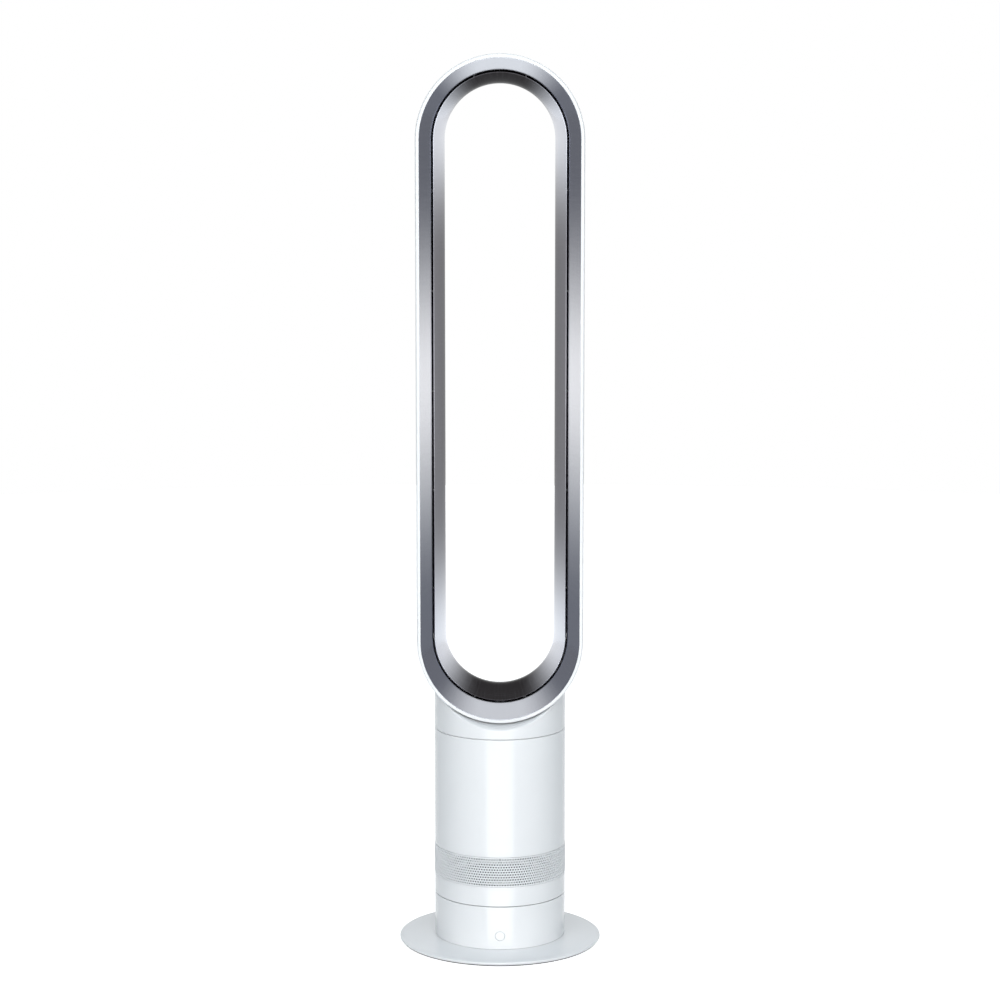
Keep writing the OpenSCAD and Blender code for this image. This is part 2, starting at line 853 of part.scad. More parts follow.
module mount_bushes() {
  color("black") around(bush_count, bush_ring, 45) translate([0, 0, ledge_z + ledge_t])
    cylinder(r = bush_r, h = bush_h);
}

module impeller_housing() {
  inner = mouth_r + tip_gap;
  color("gray") difference() {
    rotate_extrude() polygon([
      [inner, duct_z], [inner + duct_wall, duct_z], [inner + duct_wall, flange_z], [flange_r, flange_z],
      [flange_r, flange_z + flange_t], [inner + 3 * duct_wall, flange_z + flange_t],
      [duct_ro, blade_top - impeller_h * 0.1], [duct_ro, duct_top], [duct_r, duct_top],
      [duct_r, blade_top], [inner, blade_z]
    ]);
    rotate([0, 0, lead_azimuth]) {
      translate([lead_x, 0, flange_z - over]) cylinder(r = lead_hole_r, h = flange_t + 2 * over);
      translate([duct_r - over, 0, lead_high_z]) rotate([0, 90, 0])
        cylinder(r = lead_hole_r, h = duct_wall + 2 * over);
    }
  }
}

// Blades seen from above: each is half of a thin ring, on one side of the line through both centres
module bent_blades(count, bend_r, bend_off, t) {
  for (i = [0 : count - 1]) rotate(i * 360 / count) intersection() {
    translate([bend_off, 0]) difference() {
      circle(r = bend_r + t / 2);
      circle(r = bend_r - t / 2);
    }
    translate([-body_r, 0]) square([2 * body_r, body_r]);
  }
}

module impeller() {
  sink = hub_wall / 2;
  color("dimgray") union() {
    intersection() {
      translate([0, 0, blade_z]) linear_extrude(impeller_h)
        bent_blades(blade_count, blade_bend_r, blade_bend_off, blade_t);
      rotate_extrude() polygon([
        [hub_low_r - sink, blade_z], [mouth_r, blade_z], [blade_r, blade_top], [hub_high_r - sink, blade_top]
      ]);
    }
    rotate_extrude() polygon([
      [shaft_r + snug / 2, blade_z], [hub_low_r, blade_z], [hub_high_r, blade_top],
      [hub_high_r - hub_wall, blade_top], [hub_low_r, blade_z + hub_wall],
      [hub_boss_r, blade_z + hub_wall], [hub_boss_r, blade_top], [shaft_r + snug / 2, blade_top]
    ]);
  }
}

module impeller_nut() {
  color("silver") translate([0, 0, blade_z - nut_h]) difference() {
    cylinder(r = nut_r, h = nut_h, $fn = 6);
    translate([0, 0, -over]) cylinder(r = shaft_r + snug / 2, h = nut_h + 2 * over);
  }
}

module diffuser() {
  color("gray") difference() {
    union() {
      tube(bucket_r, bucket_r - bucket_wall, bucket_top - bucket_z, bucket_z);
      tube(bucket_r - bucket_wall / 2, bucket_hole_r, bucket_floor_t, bucket_z);
      intersection() {
        tube(duct_r - fit, bucket_r - bucket_wall / 2, vane_h, vane_z);
        translate([0, 0, vane_z]) linear_extrude(vane_h)
          bent_blades(vane_count, vane_bend_r, vane_bend_off, vane_t);
      }
    }
    rotate([0, 0, lead_azimuth]) translate([bucket_r / 2, 0, lead_high_z]) rotate([0, 90, 0])
      cylinder(r = lead_hole_r, h = bucket_r);
  }
}

module bucket_cap() {
  outer = [for (i = [0 : cap_steps]) let(a = i * 90 / cap_steps)
    [bucket_r * cos(a), bucket_top + cap_rise * sin(a)]];
  inner = [for (i = [cap_steps : -1 : 0]) let(a = i * 90 / cap_steps)
    [(bucket_r - 2 * bucket_wall - fit) * cos(a), bucket_top + (cap_rise - bucket_wall) * sin(a)]];
  skirt_r = bucket_r - bucket_wall - fit;
  color("gray") rotate_extrude() polygon(concat(
    outer, inner,
    [[skirt_r - bucket_wall, bucket_top - cap_skirt], [skirt_r, bucket_top - cap_skirt],
     [skirt_r, bucket_top]]
  ));
}

// Motor

module motor_frame() {
  boss_r = bearing_r + bearing_wall;
  color("silver") rotate_extrude() polygon([
    [bearing_r + snug, motor_z], [bucket_r - bucket_wall - fit, motor_z],
    [bucket_r - bucket_wall - fit, motor_z + motor_floor_t], [motor_r, motor_z + motor_floor_t],
    [motor_r, motor_cap_z], [motor_r - motor_wall, motor_cap_z],
    [motor_r - motor_wall, motor_z + motor_floor_t], [boss_r, motor_z + motor_floor_t],
    [boss_r, motor_z + bearing_w], [bearing_r + snug, motor_z + bearing_w]
  ]);
}

module motor_end_cap() {
  boss_r = bearing_r + bearing_wall;
  color("silver") rotate_extrude() polygon([
    [bearing_r + snug, upper_bearing_z], [boss_r, upper_bearing_z], [boss_r, motor_cap_z],
    [motor_r, motor_cap_z], [motor_r, motor_cap_z + motor_cap_t], [boss_r, motor_cap_z + motor_cap_t],
    [boss_r, upper_bearing_z + bearing_w], [bearing_r + snug, upper_bearing_z + bearing_w]
  ]);
}

module motor_bearings() {
  color("lightgray") {
    tube(bearing_r, shaft_r + snug, bearing_w, motor_z);
    tube(bearing_r, shaft_r + snug, bearing_w, upper_bearing_z);
  }
}

module motor_stator() {
  bore = rotor_r + air_gap;
  rim = motor_r - motor_wall - snug;
  color("darkgray") translate([0, 0, stator_z]) linear_extrude(stator_h) difference() {
    union() {
      difference() {
        circle(r = rim);
        circle(r = rim - yoke_t);
      }
      for (i = [0 : pole_count - 1]) rotate(i * 360 / pole_count) {
        translate([0, -pole_w / 2]) square([rim - yoke_t / 2, pole_w]);
        translate([0, -pole_tip_w / 2]) square([bore + pole_tip_t, pole_tip_w]);
      }
    }
    circle(r = bore);
  }
}

module motor_coils() {
  inner = rotor_r + air_gap + pole_tip_t + fit;
  yoke_r = motor_r - motor_wall - snug - yoke_t - fit;
  outer = sqrt(yoke_r * yoke_r - coil_w * coil_w / 4);
  color("chocolate") around(pole_count, inner) difference() {
    translate([0, -coil_w / 2, stator_z - coil_over])
      cube([outer - inner, coil_w, stator_h + 2 * coil_over]);
    translate([-over, -pole_w / 2 - fit, stator_z - fit])
      cube([outer, pole_w + 2 * fit, stator_h + 2 * fit]);
  }
}

module motor_shaft() {
  color("silver") translate([0, 0, shaft_z]) cylinder(r = shaft_r, h = shaft_top - shaft_z);
}

module motor_rotor() {
  color("black") tube(rotor_r, shaft_r + snug / 2, stator_h - over, stator_z + over / 2);
}

module duct_bellows() {
  low = duct_top - bellows_cuff_h;
  fold_h = (bellows_h - bellows_t - over) / (2 * bellows_folds);
  root = duct_ro + fit;
  folds = [for (i = [0 : 2 * bellows_folds]) [root + i % 2 * bellows_fold_w, duct_top + over + i * fold_h]];
  color("black") rotate_extrude() polygon(concat(
    [[root, low]], folds, [[root, neck_z]],
    [[root + bellows_t + bellows_fold_w, neck_z], [root + bellows_t + bellows_fold_w, neck_z - bellows_t]],
    [for (i = [2 * bellows_folds : -1 : 0]) folds[i] + [bellows_t, 0]],
    [[root + bellows_t, low]]
  ));
}

// Neck

module loop_saddle(play) {
  along_y(loop_r + play, -body_r - over, body_r + over, arc_low_z);
}

// The four screw places under the loop
module loop_bosses() {
  for (x = [-1, 1], y = [-1, 1]) translate([x * loop_screw_x, y * loop_screw_y, 0]) children();
}

module neck_collar() {
  color("whitesmoke") difference() {
    union() {
      tube(body_r, bore_r, arc_low_z - neck_z, neck_z);
      tube(body_r - wall / 2, loop_duct_r, floor_t, neck_z);
      difference() {
        intersection() {
          loop_saddle(fit + shelf_t);
          translate([0, 0, neck_z]) cylinder(r = body_r - wall / 2, h = arc_low_z - neck_z);
        }
        translate([0, 0, neck_z]) cylinder(r = loop_duct_r, h = arc_low_z);
        translate([0, 0, neck_z]) loop_bosses() cylinder(r = loop_boss_r + fit, h = arc_low_z);
      }
      tube(bore_r - fit, bore_r - fit - spigot_t, spigot_h + floor_t / 2, neck_z - spigot_h);
      tube(loop_duct_r + loop_duct_t, loop_duct_r, arc_low_z - neck_z, neck_z);
    }
    loop_saddle(fit);
    translate([0, 0, neck_z - over]) loop_bosses() cylinder(r = pilot_r + fit, h = floor_t + 2 * over);
  }
}

module loop_screws() {
  color("silver") loop_bosses() screw(neck_z, floor_t + pilot_h - 2 * over, 1);
}

// Loop. A section is a list of [ring radius, y], swept along two straight sides and two arcs.

function nose_point(a, inset) = [
  nose_mid_r + (nose_r - inset) * cos(a), throat_y + (nose_y - inset) * sin(a)
];
function inner_skin(y) = throat_r + (slot_r - throat_r) * pow((throat_y - y) / (throat_y - slot_y), 1.5);
function inner_wall(y) = loop_wall + (tip_t - loop_wall) * (throat_y - y) / (throat_y - slot_y);
function front_skin(y) = lip_r + (slot_r + tip_t + slot_gap - lip_r) * (y - front_y) / (slot_y - front_y);

outer_section = concat(
  [[rim_r, front_y], [loop_r, swell_y]],
  [for (i = [0 : arc_steps]) nose_point(i * 90 / arc_steps, 0)],
  [for (i = [arc_steps : -1 : 0]) nose_point(i * 90 / arc_steps, loop_wall)],
  [[loop_r - loop_wall, swell_y], [rim_r - loop_wall, front_y + loop_wall], [lip_r, front_y + loop_wall],
   [lip_r, front_y]]
);

// The inner band from its tip at the slot back to the throat: the side that shows and the side in the duct
band_ys = [for (i = [1 : band_steps]) throat_y - i * (throat_y - slot_y) / band_steps];
band_face = [for (y = band_ys) [inner_skin(y), y]];
band_back = [for (i = [band_steps - 1 : -1 : 0]) let(y = band_ys[i]) [inner_skin(y) + inner_wall(y), y]];
nose_back = [for (i = [arc_steps : -1 : 1]) nose_point(90 + i * 90 / arc_steps, loop_wall)];
inner_section = concat(
  [nose_point(90, 0) - [2 * skin_gap, 0]],
  [for (i = [1 : arc_steps]) nose_point(90 + i * 90 / arc_steps, 0)],
  band_face, band_back, nose_back,
  [nose_point(90, loop_wall) - [2 * skin_gap, 0]]
);

front_start = [lip_r - fit, front_y + fit];
front_tab_y = front_y + loop_wall + fit;
front_end_r = front_skin(slot_y);
front_section = [
  front_start, [front_end_r, slot_y], [front_end_r, band_end_y - band_curl],
  [front_end_r + curl_share * band_curl, band_end_y - curl_share * band_curl],
  [front_end_r + band_curl, band_end_y], [front_end_r + band_curl, band_end_y - tab_w],
  [front_end_r + tab_w + curl_share * band_curl, band_end_y - band_curl], [front_end_r + tab_w, slot_y],
  [front_start[0] + tab_w, front_tab_y + tab_w], [front_start[0] + tab_w, front_tab_y],
  [front_start[0], front_tab_y]
];

module loop_sides(section) {
  for (side = [0, 1]) mirror([side, 0, 0]) translate([0, 0, arc_low_z])
    linear_extrude(arc_top_z - arc_low_z) polygon(section);
}

module arc_sweep(section) {
  rotate([90, 0, 0]) rotate_extrude(angle = 180) polygon([for (p = section) [p[0], -p[1]]]);
}

module loop_top(section) {
  translate([0, 0, arc_top_z]) arc_sweep(section);
}

module loop_bottom(section) {
  translate([0, 0, arc_low_z]) mirror([0, 0, 1]) arc_sweep(section);
}

module loop_outer_shell() {
  duct_cut_top = arc_low_z - sqrt(pow(loop_r - 2 * loop_wall, 2) - loop_duct_r * loop_duct_r);
  color("white") difference() {
    union() {
      loop_sides(outer_section);
      loop_top(outer_section);
      loop_bottom(outer_section);
      difference() {
        translate([0, 0, neck_z + floor_t + fit]) loop_bosses()
          cylinder(r = loop_boss_r, h = arc_low_z - neck_z - floor_t);
        translate([0, 0, arc_low_z]) rotate([90, 0, 0])
          cylinder(r = loop_r - loop_wall / 2, h = loop_depth, center = true);
      }
    }
    cylinder(r = loop_duct_r, h = duct_cut_top);
    loop_bosses() translate([0, 0, neck_z]) cylinder(r = pilot_r + snug, h = floor_t + pilot_h);
  }
}

// Each band is a top arc, two straight sides and a bottom arc that meet end to end
module front_band_top() {
  color("silver") loop_top(front_section);
}

module front_band_sides() {
  color("silver") loop_sides(front_section);
}

module front_band_bottom() {
  color("silver") loop_bottom(front_section);
}

module inner_band_top() {
  color("silver") loop_top(inner_section);
}

module inner_band_sides() {
  color("silver") loop_sides(inner_section);
}

module inner_band_bottom() {
  color("silver") loop_bottom(inner_section);
}

// One spacer, drawn in the section and given its thickness along the loop
module spacer() {
  y0 = slot_y + over;
  y1 = band_end_y - band_curl;
  end_r = front_skin(slot_y) - snug;
  linear_extrude(spacer_t, center = true) polygon([
    [inner_skin(y0) + inner_wall(y0) + fit, y0], [end_r, y0], [end_r, y1],
    [inner_skin(y1) + inner_wall(y1) + fit, y1]
  ]);
}

module slot_spacers() {
  straight = arc_top_z - arc_low_z;
  color("silver") {
    for (side = [0, 1], i = [0 : side_spacers - 1]) mirror([side, 0, 0])
      translate([0, 0, arc_low_z + straight * (i + 0.5) / side_spacers]) spacer();
    for (i = [0 : arc_spacers - 1]) {
      turn = 180 * (i + 0.5) / arc_spacers;
      translate([0, 0, arc_top_z]) rotate([0, -turn, 0]) spacer();
      translate([0, 0, arc_low_z]) rotate([0, turn, 0]) spacer();
    }
  }
}

module flow_splitter() {
  top_z = arc_low_z - throat_r;
  low_z = top_z - splitter_h;
  skin = [for (p = concat(band_back, nose_back)) [p[0] + fit, -p[1]]];
  color("gray") difference() {
    translate([0, splitter_y1, 0]) rotate([90, 0, 0]) linear_extrude(splitter_y1 - splitter_y0)
      polygon([[0, low_z], [splitter_w / 2, top_z], [-splitter_w / 2, top_z]]);
    translate([0, 0, arc_low_z]) mirror([0, 0, 1]) rotate([90, 0, 0]) rotate_extrude(angle = 180)
      polygon(concat([[0, -slot_y]], skin, [[0, -back_y]]));
  }
}

module tower_lead() {
  color("black") rotate([0, 0, lead_azimuth]) {
    lead_up(0, lead_split_z + seat, lead_low_z - lead_bend);
    lead_bend_at(lead_bend, lead_low_z - lead_bend, 90);
    lead_out(lead_bend, lead_x - lead_bend, lead_low_z);
    lead_bend_at(lead_x - lead_bend, lead_low_z + lead_bend, 270);
    lead_up(lead_x, lead_low_z + lead_bend, lead_high_z - lead_bend);
    lead_bend_at(lead_x - lead_bend, lead_high_z - lead_bend, 0);
    lead_out(lead_end_x + lead_bend, lead_x - lead_bend, lead_high_z);
    lead_bend_at(lead_end_x + lead_bend, lead_high_z - lead_bend, 90);
    lead_up(lead_end_x, motor_cap_z + motor_cap_t, lead_high_z - lead_bend);
  }
}

base_plate();
base_weight();
foot_ring();
base_screws();
base_housing();
base_chassis();
chassis_screws();
lower_race();
bearing_balls();
ball_cage();
pivot_clip();
swivel_motor();
control_board();
board_parts();
display_board();
button_switch();
button_spring();
cord_gland();
gland_nut();
base_lead();
power_button();
drive_pinion();
turntable();
ring_gear();
upper_race();
tower_screws();
lower_collar();
foam_silencer();
inlet_cage();
inlet_grille();
body_shell();
bell_mouth();
mount_bushes();
impeller_housing();
diffuser();
bucket_cap();
motor_frame();
motor_end_cap();
motor_bearings();
motor_stator();
motor_coils();
motor_shaft();
motor_rotor();
impeller();
impeller_nut();
duct_bellows();
neck_collar();
loop_screws();
loop_outer_shell();
front_band_top();
front_band_sides();
front_band_bottom();
inner_band_top();
inner_band_sides();
inner_band_bottom();
slot_spacers();
flow_splitter();
tower_lead();
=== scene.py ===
import json
import math

import bmesh
import bpy
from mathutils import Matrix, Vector


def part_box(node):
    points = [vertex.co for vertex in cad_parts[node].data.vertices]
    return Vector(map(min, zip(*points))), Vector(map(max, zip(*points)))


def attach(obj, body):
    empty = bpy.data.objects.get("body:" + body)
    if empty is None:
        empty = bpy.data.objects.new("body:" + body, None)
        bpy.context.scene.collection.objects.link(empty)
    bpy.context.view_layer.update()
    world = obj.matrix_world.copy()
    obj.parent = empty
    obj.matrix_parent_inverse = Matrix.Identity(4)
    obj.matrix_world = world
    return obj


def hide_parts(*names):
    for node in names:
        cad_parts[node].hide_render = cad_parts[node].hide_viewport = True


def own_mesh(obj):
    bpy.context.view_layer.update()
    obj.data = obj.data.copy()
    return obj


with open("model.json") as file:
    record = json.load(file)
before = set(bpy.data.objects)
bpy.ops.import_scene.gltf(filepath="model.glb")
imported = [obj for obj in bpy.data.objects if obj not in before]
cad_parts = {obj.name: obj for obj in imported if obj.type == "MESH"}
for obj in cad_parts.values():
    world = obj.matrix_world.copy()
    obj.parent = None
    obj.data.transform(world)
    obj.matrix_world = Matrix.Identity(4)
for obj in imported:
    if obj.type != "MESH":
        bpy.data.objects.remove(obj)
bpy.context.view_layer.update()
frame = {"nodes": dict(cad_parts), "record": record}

bl_info = {
    "name": "Bladeless tower fan",
    "version": (1, 0, 0),
    "blender": (4, 5, 0),
    "location": "View3D > Sidebar > Tower fan",
    "description": "Dresses the packed tower fan with its shells, bands, intake skin and finishes",
    "category": "Object",
}

MM = 0.001
LOOP_LOW, LOOP_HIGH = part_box("loop_outer_shell")
BODY_LOW, BODY_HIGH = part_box("body_shell")
HOUSING_LOW, HOUSING_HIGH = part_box("base_housing")
COLLAR_LOW, COLLAR_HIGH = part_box("lower_collar")
GRILLE_LOW, GRILLE_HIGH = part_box("inlet_grille")
NECK_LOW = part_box("neck_collar")[0]
PLATE_LOW, PLATE_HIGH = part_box("base_plate")
FOOT_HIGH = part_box("foot_ring")[1]
BUTTON_LOW, BUTTON_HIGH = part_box("power_button")
SPRING_LOW, SPRING_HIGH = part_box("button_spring")
GLAND_LOW, GLAND_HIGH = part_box("cord_gland")
BUTTON_Z, GLAND_Z = (BUTTON_LOW.z + BUTTON_HIGH.z) / 2 / MM, (GLAND_LOW.z + GLAND_HIGH.z) / 2 / MM
ARC_LOW, ARC_TOP = (corner.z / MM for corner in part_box("front_band_sides"))

# In millimetres, along the loop's depth: where the outer shell is widest, where the opening is narrowest,
# where the air slot is and where the front band ends inside
SWELL_Y, THROAT_Y, SLOT_Y, BAND_END_Y = -9.9, 21, -19, -8
BAND_RADIUS = 83  # middle of the front band, where the way along the loop is measured
RIM_INSET = 1.5  # how much narrower the loop is at its front rim
SHELL_FLOOR = 2.4  # thickness of the floors in the housing, the collar and the neck
BASE_BORE, TOWER_BORE = 14, 20  # openings in the middle of the base's and the tower's floors


# Sizes and colours that a user may change

def amount(name, description, default, **more):
    return bpy.props.FloatProperty(name=name, description=description, default=default, min=0, **more)


def size(name, description, default):
    return amount(name, description, default, subtype="DISTANCE", unit="LENGTH", precision=4)


def tint(name, description, default):
    return bpy.props.FloatVectorProperty(
        name=name, description=description, default=default, size=3, min=0, max=1, subtype="COLOR"
    )


class FanSizes(bpy.types.PropertyGroup):
    """Sizes of the shells"""

    body_radius: size("Body radius", "Radius of the round body", BODY_HIGH.x)
    body_wall: size("Body wall", "Wall of the white shells", 2.2 * MM)
    seam_round: size("Seam rounding", "Rounding of the shells' edges at the seams", 0.9 * MM)
    plate_radius: size("Base plate radius", "Radius of the base plate", PLATE_HIGH.x)
    plate_edge: size("Base plate edge", "Height of the base plate's edge", 3.6 * MM)
    loop_radius: size("Loop radius", "Outer radius of the loop's arcs", LOOP_HIGH.x)
    loop_wall: size("Loop wall", "Wall of the loop's shells", 2 * MM)
    rim_width: size("Rim width", "Width of the white rim seen from the front", 3.7 * MM)
    throat_radius: size("Throat radius", "Radius of the opening at its narrowest", 61.8 * MM)
    slot_radius: size("Slot radius", "Radius of the air slot's inner edge", 73.3 * MM)
    slot_gap: size("Slot gap", "Width of the air slot", 1.4 * MM)
    hole_pitch: size("Hole pitch", "Distance between the holes of the intake skin", 2.92 * MM)
    hole_radius: size("Hole radius", "Radius of a hole of the intake skin", 0.98 * MM)


class FanFinishes(bpy.types.PropertyGroup):
    """Colours of the finishes"""

    white: tint("White", "Moulded shells and base plate", (0.882, 0.886, 0.893))
    grille: tint("Intake skin", "Perforated skin", (0.84, 0.85, 0.86))
    # The band tones below are the satin silver's colour with painted reflections: the light tones are painted
    # highlights and the dark tones painted shade, laid along the loop in place of what the bands reflect
    front_side_painted_highlight: tint("Silver, light", "Light tone of the front band's sides", (0.76, 0.77, 0.81))
    front_painted_shade: tint("Silver, dark", "Dark tone of the front band", (0.150, 0.158, 0.190))
    front_arc_painted_highlight: tint("Silver, arcs", "Light tone of the front band's arcs", (0.56, 0.578, 0.625))
    inner_painted_highlight: tint("Silver, inner", "Light tone of the inner band", (0.645, 0.665, 0.722))
    inner_side_painted_shade: tint("Silver, shaded", "Dark tone of the inner band's sides", (0.225, 0.222, 0.24))
    inner_arc_painted_shade: tint("Silver, deep", "Dark tone of the inner band's arcs", (0.03, 0.028, 0.03))
    rubber: tint("Rubber", "Foot ring and bushes", (0.03, 0.03, 0.032))


class FanStage(bpy.types.PropertyGroup):
    """Light and camera"""

    ambient: amount("Ambient light", "Strength of the soft light all round", 0.15)
    front: amount("Front light", "Power of the wide light in front", 150, unit="POWER")
    back: amount("Back light", "Power of the light behind", 78, unit="POWER")
    top: amount("Top light", "Power of the light overhead", 38, unit="POWER")
    card: amount("Light card", "Strength of the card that shows in the body's gloss", 4.2)
    lens: amount("Lens", "Focal length on a 36 mm frame", 98.7)
    distance: size("Distance", "Camera's distance in front of the fan", 3.069)
    height: size("Height", "Camera's height above the floor", 0.93)
    pitch: amount("Pitch", "Camera's tilt below the horizon", math.radians(7.81), subtype="ANGLE")


# Outlines: lists of points in millimetres. A corner is (across, along, radius).

def rounded(corners, steps=4, hold=0.15, closed=True):
    """The outline with its corners rounded, and a holding point on each side of a rounding."""
    out = []
    count = len(corners)
    for i, corner in enumerate(corners):
        p, radius = Vector(corner[:2]), corner[2] if len(corner) > 2 else 0
        end = not closed and i in (0, count - 1)
        if radius <= 0 or end:
            out.append(tuple(p))
            continue
        before, after = Vector(corners[i - 1][:2]) - p, Vector(corners[(i + 1) % count][:2]) - p
        a, b = before.normalized(), after.normalized()
        half = math.acos(max(-1, min(1, a.dot(b)))) / 2
        if half > math.radians(88):  # nearly straight on
            out.append(tuple(p))
            continue
        # A rounding takes less than half of the line on either side
        back = min(radius / math.tan(half), 0.45 * before.length, 0.45 * after.length)
        radius = back * math.tan(half)
        centre = p + (a + b).normalized() * (radius / math.sin(half))
        start, stop = p + a * back - centre, p + b * back - centre
        if before.length > 2.5 * (back + hold):
            out.append(tuple(p + a * (back + hold)))
        turn = math.atan2(start.x * stop.y - start.y * stop.x, start.dot(stop))
        for way in between(0, turn, steps):
            c, s = math.cos(way), math.sin(way)
            out.append(tuple(centre + Vector((start.x * c - start.y * s, start.x * s + start.y * c))))
        if after.length > 2.5 * (back + hold):
            out.append(tuple(p + b * (back + hold)))
    return out


def quarter(along, across, angles):
    """Points of a quarter round, at angles in degrees: (way along from its start, way across to its far side)."""
    return [(along * (1 - math.cos(math.radians(a))), across * (1 - math.sin(math.radians(a)))) for a in angles]


def between(start, stop, steps):
    """The values between two numbers, with both ends."""
    return [start + (stop - start) * k / steps for k in range(steps + 1)]


def ellipse(centre, radii, start, stop, steps):
    """Points of an ellipse between two angles in degrees."""
    return [
        (centre[0] + radii[0] * math.cos(math.radians(a)), centre[1] + radii[1] * math.sin(math.radians(a)))
        for a in between(start, stop, steps)
    ]


# Meshes: vertices in millimetres

def piece(name, verts, faces, body, slot, nodes, material=None, marks=None):
    """A mesh piece that rides on a body and stands for its CAD nodes. Its material is its slot's, or one of its own."""
    bm = bmesh.new()
    made = [bm.verts.new([c * MM for c in v]) for v in verts]
    for face in faces:
        bm.faces.new([made[i] for i in face])
    bmesh.ops.recalc_face_normals(bm, faces=bm.faces)
    for face in bm.faces:
        face.smooth = True
    mesh = bpy.data.meshes.new(name)
    bm.to_mesh(mesh)
    bm.free()
    for label, values in (marks or {}).items():
        layer = mesh.attributes.new(label, "FLOAT_VECTOR", "POINT")
        layer.data.foreach_set("vector", [c for v in values for c in v])
    obj = bpy.data.objects.new(name, mesh)
    bpy.context.scene.collection.objects.link(obj)
    mesh.materials.append(material or finish(slot))
    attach(obj, body)
    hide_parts(*nodes)
    return obj


def rows_to_mesh(rows, closed_rows=True, closed_line=True):
    """Joins rows of points, each with the same count, into quads."""
    verts, faces = [p for row in rows for p in row], []
    count, size_of_row = len(rows), len(rows[0])
    for i in range(count if closed_rows else count - 1):
        for k in range(size_of_row if closed_line else size_of_row - 1):
            a, b = i * size_of_row, (i + 1) % count * size_of_row
            n = (k + 1) % size_of_row
            faces.append((a + k, a + n, b + n, b + k))
    return verts, faces


def bridged(a, b):
    """The faces between two rings of vertices."""
    count = len(a)
    return [(a[k], a[(k + 1) % count], b[(k + 1) % count], b[k]) for k in range(count)]


def on_ring(a, r, z):
    """The point at an angle from the front, a radius and a height."""
    return (r * math.sin(a), -r * math.cos(a), z)


def turned(outline, count=192):
    """A closed outline of (radius, height), turned round the Z axis. The first row is at the front."""
    return rows_to_mesh([[on_ring(2 * math.pi * i / count, r, z) for r, z in outline] for i in range(count)])


def turned_y(outline, x, z, count=48):
    """An outline of (radius, y) turned round a line along Y. It may start and end on the line."""
    poles = [i for i, p in enumerate(outline) if p[0] < 1e-6]
    ring = [p for p in outline if p[0] >= 1e-6]
    rows = []
    for i in range(count):
        a = 2 * math.pi * i / count
        rows.append([(x + r * math.sin(a), y, z + r * math.cos(a)) for r, y in ring])
    verts, faces = rows_to_mesh(rows, closed_line=not poles)
    for i in poles:
        verts.append((x, outline[i][1], z))
        k = 0 if i == 0 else len(ring) - 1
        tip = len(verts) - 1
        faces += [(tip, j * len(ring) + k, (j + 1) % count * len(ring) + k) for j in range(count)]
    return verts, faces


def coil(z, ring, wire, start, stop, turns):
    """A round wire wound about a line along Y, from start to stop."""
    rows, steps, around = [], 40 * turns, 12
    for a, y in zip(between(0, 2 * math.pi * turns, steps), between(start, stop, steps)):
        row = []
        for j in range(around):
            b = 2 * math.pi * j / around
            out = ring + wire * math.cos(b)
            row.append((out * math.cos(a), y + wire * math.sin(b), z + out * math.sin(a)))
        rows.append(row)
    verts, faces = rows_to_mesh(rows, closed_rows=False)
    return verts, faces + [tuple(range(around)), tuple(range(len(verts) - around, len(verts)))]


def add_mesh(base, more):
    """Two lists of vertices and faces as one."""
    start = len(base[0])
    return base[0] + more[0], base[1] + [tuple(i + start for i in f) for f in more[1]]


